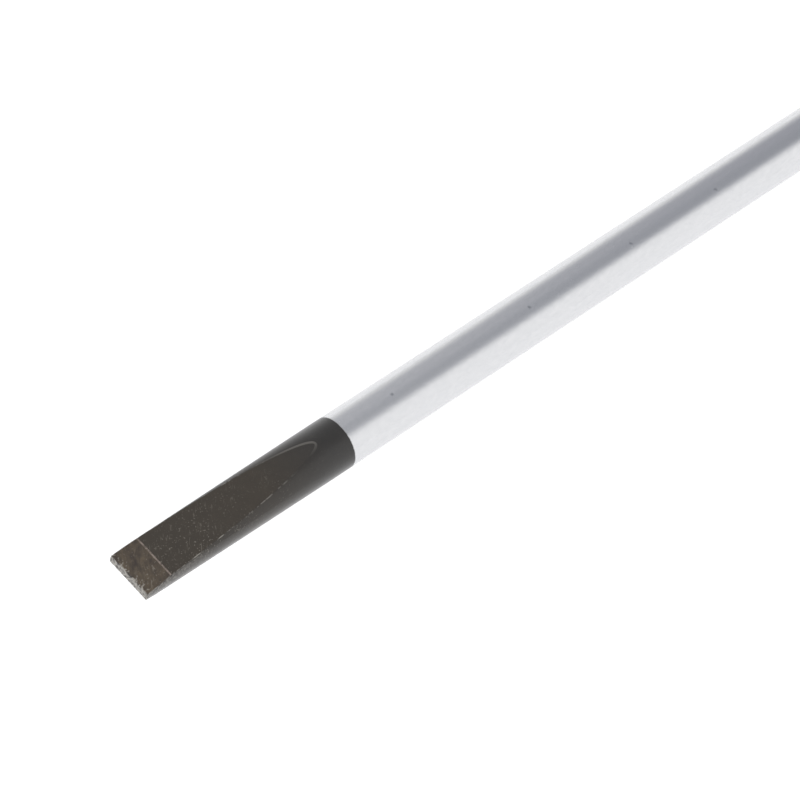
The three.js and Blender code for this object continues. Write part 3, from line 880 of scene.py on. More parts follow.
@dataclass
class Blade:
    """The steel blade: ground and blackened tip, round shaft, and a winged tang inside the handle."""

    radius: float = 1.75
    reach: float = 80.0
    tip_half: float = 0.3
    tip_taper: float = 0.09
    wedge_length: float = 1.85
    wedge_half: float = 0.625
    facet_length: float = 14.4
    edge: float = 0.03
    edge_soft: float = 0.08
    edge_soft_from: float = 9.0
    ridge: float = 0.05
    chip: float = 0.07
    wing_starts: tuple[float, ...] = (96.0, 105.0)
    wing_length: float = 5.0
    wing_ramp: float = 1.0
    wing_half_span: float = 2.6
    wing_half_thickness: float = 0.7
    tang_end: float = 118.0
    tang_chamfer: float = 0.5
    run_out: float = 0.2
    mid_shaft: float = 30.0
    ridge_wear: float = 0.85
    end_wear: float = 0.9
    columns: int = 40
    side_steps: int = 8
    seed: int = 7

    def radius_at(self, x: float) -> float:
        """The round's radius, a little less towards the working end."""
        return self.radius - self.tip_taper * max(0.0, 1 - x / self.facet_length)

    def half_at(self, x: float) -> float:
        """Half the thickness between the ground faces: a short steep wedge, then the long facet."""
        if x < self.wedge_length:
            return self.tip_half + (self.wedge_half - self.tip_half) * x / self.wedge_length
        share = (x - self.wedge_length) / (self.facet_length - self.wedge_length)
        return self.wedge_half + (self.radius - self.wedge_half) * share

    def edge_at(self, x: float) -> float:
        """Half the width of the strip along the rim that carries wear and a painted glint: it widens
        where the facet runs out.
        """
        share = max(0.0, (x - self.edge_soft_from) / (self.facet_length - self.edge_soft_from))
        return self.edge + (self.edge_soft - self.edge) * share

    def rim(self) -> list[tuple[float, float]]:
        """The line where the upper ground faces meet the round, on one side.

        Returns:
            Places along the tool and directions round it, from the working end to the facet's top.
        """
        wedge_steps = 7
        facet_steps = 48
        last = self.wedge_length - self.ridge
        stations = [last * k / wedge_steps for k in range(wedge_steps + 1)]
        stations.append(self.wedge_length + self.ridge)
        line = [(x, math.asin(self.half_at(x) / self.radius_at(x))) for x in stations]
        rise = (self.radius - self.wedge_half) / (self.facet_length - self.wedge_length)
        base = self.wedge_half - rise * self.wedge_length
        cone = self.tip_taper / self.facet_length
        start = line[-1][1]
        for k in range(1, facet_steps + 1):
            angle = start + (math.pi / 2 - start) * k / facet_steps
            sine = math.sin(angle)
            line.append((((self.radius - self.tip_taper) * sine - base) / (rise - cone * sine), angle))
        return line

    def edges(self) -> tuple[Loop, Loop]:
        """Both sides of the narrow strip along the rim that carries wear and a painted glint.

        Returns:
            Points just inside the ground faces, and points just outside them on the round.
        """
        line = self.rim()
        points = [
            Vector((x, self.radius_at(x) * math.cos(a), self.radius_at(x) * math.sin(a))) for x, a in line
        ]
        inside: Loop = []
        outside: Loop = []
        step = 0.01
        for k, (x, angle) in enumerate(line):
            if k == len(line) - 1:
                run = Vector((0, -1, 0))
            else:
                run = (points[k + 1] - points[max(k - 1, 0)]).normalized()
            slope = (self.half_at(x + step) - self.half_at(x)) / step
            face = Vector((-slope, 0, 1)).normalized()
            out = Vector((0, math.cos(angle), math.sin(angle)))
            inner = points[k] + run.cross(face).normalized() * self.edge_at(x)
            inner.z = self.half_at(inner.x)
            outer = points[k] + out.cross(run).normalized() * self.edge_at(x)
            grow = self.radius_at(outer.x) / math.hypot(outer.y, outer.z)
            inside.append(inner)
            outside.append(Vector((outer.x, outer.y * grow, outer.z * grow)))
        return inside, outside

    def wing_reach(self, x: float, angle: float, gap: float = 0.0) -> float:
        """Reach of the tang, with its swaged wings, from the axis.

        Args:
            x: place along the tool.
            angle: direction round it.
            gap: how much larger the cavity round the tang is.

        Returns:
            The distance from the axis to the surface.
        """
        reach = self.radius + gap
        for start in self.wing_starts:
            inside = min(x - start + gap, start + self.wing_length + gap - x)
            if inside >= 0:
                span = self.wing_half_span + gap - max(0.0, self.wing_ramp - inside)
                across = span / max(abs(math.cos(angle)), TINY)
                up = (self.wing_half_thickness + gap) / max(abs(math.sin(angle)), TINY)
                reach = max(reach, min(across, up))
        return reach

    def wing_stations(self, gap: float = 0.0) -> list[float]:
        """Places along the tang where its wings start, reach their width and end."""
        stations: list[float] = []
        for start in self.wing_starts:
            end = start + self.wing_length + gap
            begin = start - gap
            stations += [begin, begin + self.wing_ramp, end - self.wing_ramp, end]
        return stations

    def facet(
        self, shape: bmesh.types.BMesh, inside: Loop, end_half: float, up: int, dice: random.Random
    ) -> list[list[bmesh.types.BMVert]]:
        """Corners of the wedge and the long facet on one side, with a chipped first row.

        Args:
            shape: the mesh under construction.
            inside: points along one edge of the ground faces, up to where both edges meet.
            end_half: half the width of the first row.
            up: 1 for the upper side and -1 for the lower one.
            dice: what the depths of the chips are drawn from.

        Returns:
            The rows from the working end, each from one edge to the other.
        """
        grid = []
        for k, point in enumerate(inside[:-1]):
            half = point.y if k else end_half
            row = []
            for j in range(self.columns + 1):
                x = point.x if k else self.edge
                if k == 0 and 0 < j < self.columns:
                    x += dice.random() ** 3 * self.chip
                y = half * (2 * j / self.columns - 1)
                row.append(shape.verts.new((x, y, up * self.half_at(x))))
            grid.append(row)
        return grid

    def lip(
        self,
        shape: bmesh.types.BMesh,
        brink: Sequence[bmesh.types.BMVert],
        ends: tuple[bmesh.types.BMVert, bmesh.types.BMVert],
        up: int,
    ) -> list[bmesh.types.BMVert]:
        """Corners along one long edge of the end face, which drops where a chip is.

        Args:
            shape: the mesh under construction.
            brink: the chipped first row of the wedge on that side.
            ends: the edge's first and last corner.
            up: 1 for the upper side and -1 for the lower one.

        Returns:
            The corners, in the same order as the wedge's.
        """
        made = [ends[0]]
        for corner in brink[1:-1]:
            drop = (corner.co.x - self.edge) / 2
            height = self.tip_half - self.edge - drop
            made.append(shape.verts.new((0, corner.co.y, up * height)))
        return [*made, ends[1]]

    def build(self) -> bpy.types.Object:
        """Builds the blade's mesh.

        Returns:
            The blade, with face attributes for its ground faces, their edges marked for wear and a
            painted glint, and the wedge line.
        """
        shape = bmesh.new()
        worn = shape.faces.layers.float.new(Mark.WORN.value)
        ridge = shape.faces.layers.float.new(Mark.RIDGE.value)
        ground = shape.faces.layers.float.new(Mark.GROUND.value)
        dice = random.Random(self.seed)
        inside, outside = self.edges()
        rows = len(inside) - 1
        end_radius = self.radius_at(0) - self.edge
        corner = math.asin((self.tip_half - self.edge) / end_radius)
        swings = [corner * (2 * k / self.side_steps - 1) for k in range(self.side_steps + 1)]

        def rub(face: bmesh.types.BMFace, amount: float = 1.0) -> None:
            """Marks a face for bare steel, which along the rim is partly a painted glint."""
            face[worn] = amount

        def arc(x: float, reach: float, mirror: int) -> list[bmesh.types.BMVert]:
            """Corners down one round side of the working end."""
            return [
                shape.verts.new((x, mirror * reach * math.cos(a), reach * math.sin(a))) for a in swings
            ]

        sides = {m: arc(self.edge, self.radius_at(self.edge), m) for m in (1, -1)}
        rims = {m: arc(0.0, end_radius, m) for m in (1, -1)}
        tops: dict[int, list[bmesh.types.BMVert]] = {}
        belts: dict[int, list[bmesh.types.BMVert]] = {}
        for up in (1, -1):
            # The arcs run upwards, so the upper corner is the last of each
            which = -1 if up == 1 else 0
            left, right = sides[-1][which], sides[1][which]
            grid = self.facet(shape, inside, rims[1][0].co.y, up, dice)
            peak = shape.verts.new((inside[-1].x, 0, up * inside[-1].z))
            crest = shape.verts.new((outside[-1].x, 0, up * outside[-1].z))
            belt = {
                m: [shape.verts.new((p.x, m * p.y, up * p.z)) for p in outside[1:-1]] for m in (1, -1)
            }
            for k in range(rows - 1):
                on_ridge = inside[k].x < self.wedge_length < inside[k + 1].x
                for j in range(self.columns):
                    near = grid[k][j], grid[k + 1][j]
                    face = shape.faces.new((*near, grid[k + 1][j + 1], grid[k][j + 1]))
                    face[ridge] = self.ridge_wear if on_ridge else 0.0
                    face[ground] = 1.0
            for j in range(self.columns):
                shape.faces.new((grid[-1][j], peak, grid[-1][j + 1]))[ground] = 1.0
            # The strips along the rim take bare steel, partly worn and partly a painted glint
            for mirror, column, start in ((1, self.columns, right), (-1, 0, left)):
                outer = [start, *belt[mirror], crest]
                inner = [*(row[column] for row in grid), peak]
                for k in range(rows):
                    rub(shape.faces.new((inner[k], inner[k + 1], outer[k + 1], outer[k])))
            lip = self.lip(shape, grid[0], (rims[-1][which], rims[1][which]), up)
            for j in range(self.columns):
                rub(shape.faces.new((grid[0][j], grid[0][j + 1], lip[j + 1], lip[j])))
            rub(shape.faces.new((lip[-1], right, grid[0][-1])))
            rub(shape.faces.new((lip[0], left, grid[0][0])))
            tops[up] = lip
            belts[up] = [*belt[1], crest, *reversed(belt[-1])]
        for mirror in (1, -1):
            for k in range(self.side_steps):
                low, high = rims[mirror][k], rims[mirror][k + 1]
                rub(shape.faces.new((low, high, sides[mirror][k + 1], sides[mirror][k])))
        end = [*tops[1], *reversed(rims[1][1:-1]), *reversed(tops[-1]), *rims[-1][1:-1]]
        rub(shape.faces.new(end), self.end_wear)

        start = [*sides[1], *belts[1], *reversed(sides[-1]), *reversed(belts[-1])]
        self.draw_out(shape, start, len(swings))
        return to_object(shape, "blade_dressed")

    def draw_out(
        self, shape: bmesh.types.BMesh, start: Sequence[bmesh.types.BMVert], side_points: int
    ) -> None:
        """Carries the tip's last loop along the shaft and the tang, and closes the tail.

        Args:
            shape: the mesh under construction.
            start: corners round the tip: one side, the upper rim, the other side, the lower rim.
            side_points: how many of them are on each side.
        """
        turns = [math.atan2(v.co.z, v.co.y) for v in start]
        line = [angle for _x, angle in self.rim()[1:]]
        upper = line + [math.pi - a for a in reversed(line[:-1])]
        turns[side_points : side_points + len(upper)] = upper
        turns[2 * side_points + len(upper) :] = [-a for a in reversed(upper)]
        stations = [self.facet_length + self.run_out, self.mid_shaft, self.reach, *self.wing_stations()]
        stations.append(self.tang_end - self.tang_chamfer)
        loops = [[(x, self.wing_reach(x, a), a) for a in turns] for x in stations]
        loops.append([(self.tang_end, self.radius - self.tang_chamfer, a) for a in turns])
        last = start
        for loop in loops:
            made = [shape.verts.new((x, r * math.cos(a), r * math.sin(a))) for x, r, a in loop]
            bridge(shape, last, made)
            last = made
        cap_over(shape, last)

    def make(self) -> None:
        """Builds the blade, dresses it and hands it over."""
        hand_over(self.build(), Body.HANDLE, BladeSteel().material())


@dataclass
class HandleCore:
    """The hard heart of the handle: nose, hexagonal spine, and the hub that holds the cap's pin."""

    blade: Blade
    nose_start: float = 80.0
    nose_end: float = 85.0
    nose_front: float = 3.2
    nose_rear: float = 4.77
    spine_apothem: float = 3.7
    hub_start: float = 158.9
    hub_end: float = 163.9
    hub_front: float = 5.17
    hub_rear: float = 6.17
    pin_hole: float = 1.62
    pin_floor: float = 149.78
    bore_mouth: float = 1.0
    gap: float = 0.12
    points: int = 144

    def build(self) -> bpy.types.Object:
        """Builds the core's mesh, with the tang's cavity and the pin's hole.

        Returns:
            The core.
        """
        bore = self.blade.radius + self.gap
        loops = []
        for x in reversed([*self.blade.wing_stations(self.gap), self.blade.tang_end + self.gap]):
            loops.append(ring(x, lambda a, x=x: self.blade.wing_reach(x, a, self.gap), self.points))
        nose = [
            (self.nose_start + self.bore_mouth, bore, 0.0),
            (self.nose_start, bore, 0.2),
            (self.nose_start, self.nose_front, 0.6),
            (self.nose_end, self.nose_rear, 0.25),
            (self.nose_end, self.spine_apothem, 0.0),
        ]
        loops += rings(rounded(nose)[:-1], self.points)
        for x in (self.nose_end, self.hub_start):
            loops.append(ring(x, lambda a: hexagon(self.spine_apothem, a), self.points))
        hub = [
            (self.hub_start, self.spine_apothem, 0.0),
            (self.hub_start, self.hub_front, 0.2),
            (self.hub_end, self.hub_rear, 0.45),
            (self.hub_end, self.pin_hole, 0.15),
            (self.pin_floor, self.pin_hole, 0.0),
        ]
        loops += rings(rounded(hub)[1:], self.points)
        return loft("handle_core_dressed", loops, Ends.CAPPED)

    def make(self, material: bpy.types.Material) -> None:
        """Builds the core, dresses it and hands it over."""
        hand_over(self.build(), Body.HANDLE, material)


@dataclass
class Sleeve:
    """What the sleeves on the spine share: their place, and the hexagonal bore that keys them."""

    name: str
    start: float
    end: float
    bore_apothem: float = 3.82
    points: int = 192

    def bore(self) -> list[Loop]:
        """Loops of the bore, from the back to the front."""
        places = (self.end, self.start)
        return [ring(x, lambda a: hexagon(self.bore_apothem, a), self.points) for x in places]

    def wrap(self, outside: Sequence[Loop]) -> bpy.types.Object:
        """Closes an outside, from front to back, with the bore.

        Args:
            outside: loops of the outer surface.

        Returns:
            The sleeve.
        """
        return loft(self.name, [*outside, *self.bore()], Ends.JOINED)


@dataclass
class AntiRollCollar(Sleeve):
    """Hexagonal collar that stops the tool rolling, coned at the front and chamfered at the back."""

    name: str = "anti_roll_collar_dressed"
    start: float = 85.12
    end: float = 92.42
    land_start: float = 87.72
    land_end: float = 91.32
    front_radius: float = 5.27
    corner_radius: float = 8.3
    rear_radius: float = 7.09
    apothem: float = 7.5
    softness: float = 0.3
    points: int = 288
    row: float = 0.25

    def build(self) -> bpy.types.Object:
        """Builds the collar's mesh.

        Returns:
            The collar.
        """
        corners = [
            (self.start, self.bore_apothem, 0.0),
            (self.start, self.front_radius, 0.3),
            (self.land_start, self.corner_radius, 0.5),
            (self.land_end, self.corner_radius, 0.35),
            (self.end, self.rear_radius, 0.3),
            (self.end, self.bore_apothem, 0.0),
        ]
        outside = []
        for x, radius in split(rounded(corners)[1:-1], self.row):
            outside.append(
                ring(
                    x,
                    lambda a, r=radius: soft_min(r, hexagon(self.apothem, a), self.softness),
                    self.points,
                )
            )
        return self.wrap(outside)

    def make(self, material: bpy.types.Material) -> None:
        """Builds the collar, dresses it and hands it over."""
        hand_over(self.build(), Body.HANDLE, material)


@dataclass
class FrontGrip(Sleeve):
    """Soft waisted grip with a rounded hexagonal swell and staggered rows of small pips."""

    name: str = "front_grip_dressed"
    start: float = 92.54
    end: float = 127.54
    edge: float = 0.5
    waist_at: float = 105.54
    swell_at: float = 118.04
    front_radius: float = 7.09
    waist_radius: float = 5.39
    swell_radius: float = 7.19
    rear_radius: float = 5.79
    apothem: float = 6.39
    corner: float = 3.2
    softness: float = 0.5
    edge_steps: int = 6
    pip_rows: int = 13
    pips_round: int = 18
    pip_first: float = 97.5
    pip_pitch: float = 2.1
    pip_width: float = 1.1
    pip_height: float = 0.2

    def side(self, steps: int = 30) -> Outline:
        """The grip's side line through front, waist, swell and rear.

        Args:
            steps: points between two of those places.

        Returns:
            Points of a smooth curve along the tool.
        """
        knots = [
            Vector((self.start + self.edge, self.front_radius)),
            Vector((self.waist_at, self.waist_radius)),
            Vector((self.swell_at, self.swell_radius)),
            Vector((self.end - self.edge, self.rear_radius)),
        ]
        spread = [knots[0], *knots, knots[-1]]
        line: Outline = []
        for a, b, c, d in zip(spread, spread[1:], spread[2:], spread[3:]):
            for k in range(steps):
                t = k / steps
                pull = (c - a) * t + (2 * a - 5 * b + 4 * c - d) * t**2 + (3 * b - a - 3 * c + d) * t**3
                line.append(tuple(b + pull / 2))
        line.append(tuple(knots[-1]))
        return line

    def brim(self, face: float, inward: int, radius: float) -> Outline:
        """The rounded edge at one end, from the side to the end face.

        Args:
            face: where the end face is.
            inward: 1 where the grip lies behind that face and -1 where it lies ahead of it.
            radius: the side's radius at that end.

        Returns:
            Points of the rounding, without the one on the side.
        """
        points: Outline = []
        for k in range(1, self.edge_steps + 1):
            turn = math.pi / 2 * k / self.edge_steps
            x = face + inward * self.edge * (1 - math.sin(turn))
            points.append((x, radius - self.edge * (1 - math.cos(turn))))
        return points

    def build(self) -> bpy.types.Object:
        """Builds the smooth sleeve.

        Returns:
            The grip without its pips.
        """
        front = self.brim(self.start, 1, self.front_radius)
        rear = self.brim(self.end, -1, self.rear_radius)
        outside = []
        for x, radius in [*reversed(front), *self.side(), *rear]:
            inset = max(0.0, self.edge - min(x - self.start, self.end - x))
            flat = self.apothem - inset**2 / self.edge / 2
            outside.append(
                ring(
                    x,
                    lambda a, r=radius, f=flat: soft_min(r, hexagon(f, a, self.corner), self.softness),
                    self.points,
                )
            )
        return self.wrap(outside)

    def pips(self) -> ShapeTree:
        """The node tree that sets rows of pips on the sleeve, turned to its surface.

        Returns:
            The tree, ready to run.
        """
        shape = ShapeTree(
            "Grip pips",
            {
                "Rows": self.pip_rows,
                "Pips Round": self.pips_round,
                "First Row": self.pip_first * MM,
                "Row Pitch": self.pip_pitch * MM,
                "Pip Width": self.pip_width * MM,
                "Pip Height": self.pip_height * MM,
            },
        )
        put, size = shape.put, shape.size
        grid = put("GeometryNodeMeshGrid", {"Vertices X": size["Rows"], "Vertices Y": size["Pips Round"]})
        index = put("GeometryNodeInputIndex")
        passed = put("ShaderNodeMath", {0: index, 1: size["Pips Round"]}, operation="DIVIDE")
        row = put("ShaderNodeMath", {0: passed}, operation="FLOOR")
        odd = put("ShaderNodeMath", {0: row, 1: 2.0}, operation="MODULO")
        place = put("ShaderNodeMath", {0: odd, 1: 0.5, 2: index}, operation="MULTIPLY_ADD")
        pitch = put("ShaderNodeMath", {0: math.tau, 1: size["Pips Round"]}, operation="DIVIDE")
        angle = put("ShaderNodeMath", {0: place, 1: pitch}, operation="MULTIPLY")
        along = {0: row, 1: size["Row Pitch"], 2: size["First Row"]}
        x = put("ShaderNodeMath", along, operation="MULTIPLY_ADD")

        # Each pip drops from outside on to the sleeve
        y = put("ShaderNodeMath", {0: angle}, operation="COSINE")
        z = put("ShaderNodeMath", {0: angle}, operation="SINE")
        out = put("ShaderNodeCombineXYZ", {"Y": y, "Z": z})
        axis = put("ShaderNodeCombineXYZ", {"X": x})
        drop = 20 * MM
        far = {0: out, 1: (drop, drop, drop), 2: axis}
        source = put("ShaderNodeVectorMath", far, operation="MULTIPLY_ADD")
        inward = put("ShaderNodeVectorMath", {0: out, "Scale": -1.0}, operation="SCALE")
        aim = {
            "Target Geometry": size["Geometry"],
            "Source Position": source,
            "Ray Direction": inward,
            "Ray Length": drop,
        }
        hit = put("GeometryNodeRaycast", aim).outputs
        spots = put("GeometryNodeSetPosition", {"Geometry": grid, "Position": hit["Hit Position"]})
        turned = put("FunctionNodeAlignRotationToVector", {"Vector": hit["Hit Normal"]}, axis="Z")
        half = put("ShaderNodeMath", {0: size["Pip Width"], 1: 0.5}, operation="MULTIPLY")
        bulk = put("ShaderNodeCombineXYZ", {"X": half, "Y": half, "Z": size["Pip Height"]})
        dome = put("GeometryNodeMeshUVSphere", {"Segments": 16, "Rings": 8, "Radius": 1.0})
        placing = {"Points": spots, "Instance": dome, "Rotation": turned, "Scale": bulk}
        pips = put("GeometryNodeInstanceOnPoints", placing)

        # The join's one input takes the sleeve and the pips
        both = put("GeometryNodeJoinGeometry", {0: size["Geometry"]})
        shape.tree.links.new(pips.outputs[0], both.inputs[0])
        shape.close(both)
        return shape

    def make(self, material: bpy.types.Material) -> None:
        """Builds the grip, sets its pips and hands it over."""
        made = self.build()
        self.pips().apply(made, material)
        hand_over(made, Body.HANDLE)


@dataclass
class MarkerRing(Sleeve):
    """Coloured band between the two grips, with a fine groove round its middle."""

    name: str = "marker_ring_dressed"
    start: float = 127.66
    end: float = 130.66
    radius: float = 5.74
    edge: float = 0.35
    groove_half: float = 0.3
    groove_depth: float = 0.2

    def build(self) -> bpy.types.Object:
        """Builds the ring's mesh.

        Returns:
            The ring.
        """
        middle = (self.start + self.end) / 2
        corners = [
            (self.start, self.bore_apothem, 0.0),
            (self.start, self.radius, self.edge),
            (middle - self.groove_half, self.radius, 0.08),
            (middle, self.radius - self.groove_depth, 0.1),
            (middle + self.groove_half, self.radius, 0.08),
            (self.end, self.radius, self.edge),
            (self.end, self.bore_apothem, 0.0),
        ]
        return self.wrap(rings(rounded(corners)[1:-1], self.points))

    def make(self, material: bpy.types.Material) -> None:
        """Builds the ring, dresses it and hands it over."""
        hand_over(self.build(), Body.HANDLE, material)


@dataclass
class SpinnerGrip(Sleeve):
    """Slim soft sleeve for spinning the tool, with ring grooves and fine notches between them."""

    name: str = "spinner_grip_dressed"
    start: float = 130.78
    end: float = 158.78
    radius: float = 5.39
    edge: float = 0.5
    groove_count: int = 9
    groove_pitch: float = 2.6
    groove_width: float = 1.2
    groove_depth: float = 0.45
    notch_count: int = 32
    notch_depth: float = 0.16
    points: int = 256
    row: float = 0.16

    def build(self) -> bpy.types.Object:
        """Builds the smooth sleeve.

        Returns:
            The sleeve before its grooves are pressed in.
        """
        corners = [
            (self.start, self.bore_apothem, 0.0),
            (self.start, self.radius, self.edge),
            (self.end, self.radius, self.edge),
            (self.end, self.bore_apothem, 0.0),
        ]
        return self.wrap(rings(split(rounded(corners)[1:-1], self.row), self.points))

    def grooves(self) -> ShapeTree:
        """The node tree that presses the ring grooves and the notches into the sleeve.

        Returns:
            The tree, ready to run.
        """
        shape = ShapeTree(
            "Ring grooves",
            {
                "Grooves": self.groove_count,
                "Pitch": self.groove_pitch * MM,
                "Half Width": self.groove_width / 2 * MM,
                "Depth": self.groove_depth * MM,
                "Middle": (self.start + self.end) / 2 * MM,
                "Notches": self.notch_count,
                "Notch Depth": self.notch_depth * MM,
                "Outside": (self.radius - self.edge) * MM,
            },
        )
        put, size = shape.put, shape.size
        x, angle, reach, out = shape.polar()

        # How far a point is from the middle of the nearest groove
        along = put("ShaderNodeMath", {0: x, 1: size["Middle"]}, operation="SUBTRACT")
        last = put("ShaderNodeMath", {0: size["Grooves"], 1: 1.0}, operation="SUBTRACT")
        shift = put("ShaderNodeMath", {0: last, 1: 0.5}, operation="MULTIPLY")
        steps = put("ShaderNodeMath", {0: along, 1: size["Pitch"]}, operation="DIVIDE")
        number = put("ShaderNodeMath", {0: steps, 1: shift}, operation="ADD")
        nearest = put("ShaderNodeMath", {0: number}, operation="ROUND")
        above = put("ShaderNodeMath", {0: nearest, 1: 0.0}, operation="MAXIMUM")
        held = put("ShaderNodeMath", {0: above, 1: last}, operation="MINIMUM")
        miss = put("ShaderNodeMath", {0: number, 1: held}, operation="SUBTRACT")
        span = put("ShaderNodeMath", {0: miss, 1: size["Pitch"]}, operation="MULTIPLY")
        off = put("ShaderNodeMath", {0: span}, operation="ABSOLUTE")
        floor = put("ShaderNodeMath", {0: size["Half Width"], 1: 0.35}, operation="MULTIPLY")
        wall = {"Value": off, "From Min": size["Half Width"], "From Max": floor, "To Max": size["Depth"]}
        groove = put("ShaderNodeMapRange", wall, interpolation_type="SMOOTHSTEP")

        # Narrow notches round the lands between the grooves
        turn = put("ShaderNodeMath", {0: angle, 1: size["Notches"]}, operation="MULTIPLY")
        wave = put("ShaderNodeMath", {0: turn}, operation="COSINE")
        narrow = {"Value": wave, "From Min": 0.2, "To Max": size["Notch Depth"]}
        notch = put("ShaderNodeMapRange", narrow, interpolation_type="SMOOTHSTEP")
        margin = put("ShaderNodeMath", {0: nearest, 1: held}, operation="COMPARE")
        land = put("ShaderNodeMath", {0: notch, 1: margin}, operation="MULTIPLY")

        # Only the outside moves, straight in towards the axis
        cut = put("ShaderNodeMath", {0: groove, 1: land}, operation="MAXIMUM")
        outside = put("ShaderNodeMath", {0: reach, 1: size["Outside"]}, operation="GREATER_THAN")
        deep = put("ShaderNodeMath", {0: cut, 1: outside}, operation="MULTIPLY")
        inward = put("ShaderNodeMath", {0: deep, 1: -1.0}, operation="MULTIPLY")
        shape.press(out, inward)
        return shape

    def make(self, material: bpy.types.Material) -> None:
        """Builds the sleeve, presses its grooves and hands it over."""
        made = self.build()
        self.grooves().apply(made, material)
        hand_over(made, Body.HANDLE)


@dataclass
class SwivelCap:
    """The cap that stays still under the finger, with its dished pad and the fittings inside it."""

    start: float = 164.9
    end: float = 177.8
    front_radius: float = 6.27
    radius: float = 7.5
    flare: float = 2.0
    end_radius: float = 2.0
    barrel: float = 2.62
    pocket: float = 3.92
    shoulder: float = 170.78
    recess: float = 5.3
    ledge: float = 175.28
    scallop_count: int = 12
    scallop_radius: float = 1.5
    scallop_depth: float = 0.45
    scallop_start: float = 171.8
    scallop_run: float = 0.8
    scallop_softness: float = 0.25
    pad_start: float = 175.4
    pad_radius: float = 5.18
    pad_rim: float = 0.7
    pad_dish: float = 0.9
    ripple_count: int = 4
    ripple: float = 0.05
    points: int = 288
    row: float = 0.3

    def build_cap(self) -> bpy.types.Object:
        """Builds the turned cap.

        Returns:
            The cap before its scallops are cut.
        """
        outside = [
            (self.start, self.barrel, 0.0),
            (self.start, self.front_radius, 0.35),
            (self.start + self.flare, self.radius, 0.8),
            (self.end, self.radius, self.end_radius),
            (self.end, self.recess, 0.15),
            (self.ledge, self.recess, 0.05),
            (self.ledge, self.pocket, 0.1),
            (self.shoulder, self.pocket, 0.05),
            (self.shoulder, self.barrel, 0.1),
            (self.start, self.barrel, 0.0),
        ]
        outline = split(rounded(outside)[:-1], self.row)
        return loft("swivel_cap_dressed", rings(outline, self.points), Ends.JOINED)

    def scallops(self) -> ShapeTree:
        """The node tree that cuts the finger scallops round the back of the cap.

        Returns:
            The tree, ready to run.
        """
        shape = ShapeTree(
            "Cap scallops",
            {
                "Scallops": self.scallop_count,
                "Radius": self.scallop_radius * MM,
                "Centre": (self.radius + self.scallop_radius - self.scallop_depth) * MM,
                "Start": self.scallop_start * MM,
                "Run": self.scallop_run * MM,
                "Softness": self.scallop_softness * MM,
            },
        )
        put, size = shape.put, shape.size
        x, angle, reach, out = shape.polar()

        # Direction from the middle of the nearest scallop
        pitch = put("ShaderNodeMath", {0: math.tau, 1: size["Scallops"]}, operation="DIVIDE")
        turns = put("ShaderNodeMath", {0: angle, 1: pitch}, operation="DIVIDE")
        share = put("ShaderNodeMath", {0: turns}, operation="FRACT")
        middle = put("ShaderNodeMath", {0: share, 1: 0.5}, operation="SUBTRACT")
        off = put("ShaderNodeMath", {0: middle, 1: pitch}, operation="MULTIPLY")

        # Where a line from the axis meets the round cutter of that scallop
        sine = put("ShaderNodeMath", {0: off}, operation="SINE")
        cosine = put("ShaderNodeMath", {0: off}, operation="COSINE")
        across = put("ShaderNodeMath", {0: size["Centre"], 1: sine}, operation="MULTIPLY")
        along = put("ShaderNodeMath", {0: size["Centre"], 1: cosine}, operation="MULTIPLY")
        square = put("ShaderNodeMath", {0: size["Radius"], 1: 2.0}, operation="POWER")
        wide = put("ShaderNodeMath", {0: across, 1: across}, operation="MULTIPLY")
        room = put("ShaderNodeMath", {0: square, 1: wide}, operation="SUBTRACT")
        inside = put("ShaderNodeMath", {0: room, 1: 0.0}, operation="MAXIMUM")
        half = put("ShaderNodeMath", {0: inside}, operation="SQRT")
        near = put("ShaderNodeMath", {0: along, 1: half}, operation="SUBTRACT")
        missed = put("ShaderNodeMath", {0: room, 1: 0.0}, operation="LESS_THAN")
        limit = put("ShaderNodeMath", {0: near, 1: missed}, operation="ADD")

        # The cut fades in along the cap and rounds over at its edges
        meet = {0: reach, 1: limit, 2: size["Softness"]}
        cut = put("ShaderNodeMath", meet, operation="SMOOTH_MIN")
        depth = put("ShaderNodeMath", {0: cut, 1: reach}, operation="SUBTRACT")
        full = put("ShaderNodeMath", {0: size["Start"], 1: size["Run"]}, operation="ADD")
        ramp = {"Value": x, "From Min": size["Start"], "From Max": full}
        amount = put("ShaderNodeMapRange", ramp, interpolation_type="SMOOTHSTEP")
        faded = put("ShaderNodeMath", {0: depth, 1: amount}, operation="MULTIPLY")
        shape.press(out, faded)
        return shape

    def build_pad(self) -> bpy.types.Object:
        """Builds the finger pad, dished and lightly rippled.

        Returns:
            The pad.
        """
        rim = self.pad_radius - self.pad_rim
        steps = 64
        dish = []
        for k in range(steps):
            share = 1 - k / steps
            swing = 1 - math.cos(math.tau * self.ripple_count * share)
            wave = self.ripple * swing * math.sin(math.pi * share)
            dish.append((self.end - self.pad_dish * (1 - share**2) - wave, rim * share))
        edge = rounded(
            [
                (self.pad_start, 0.2, 0.0),
                (self.pad_start, self.pad_radius, 0.15),
                (self.end, self.pad_radius, 0.3),
                (self.end, rim, 0.2),
                (self.end - 0.2, rim * 0.9, 0.0),
            ]
        )
        outline = [*edge[:-1], *(p for p in dish if p[1] < edge[-2][1] - 0.02)]
        return loft("finger_pad_dressed", rings(outline, self.points // 2), Ends.CAPPED)

    def make(self, hard: bpy.types.Material, soft: bpy.types.Material) -> None:
        """Builds the cap and its pad, and dresses the fittings inside.

        Args:
            hard: the cap's material.
            soft: the pad's material.
        """
        cap = self.build_cap()
        self.scallops().apply(cap, hard)
        hand_over(cap, Body.CAP)
        hand_over(self.build_pad(), Body.CAP, soft)
        steel = PIN_STEEL.material()
        fittings = {
            "pivot_pin": steel,
            "head_washer": steel,
            "thrust_washer": ACETAL.material(),
            "cap_bush": BUSH_BRONZE.material(),
        }
        for node, material in fittings.items():
            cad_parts[node].material_slots[0].material = material
            LOG.info("%s: solid kept, %s", node, material.name)


# Studio


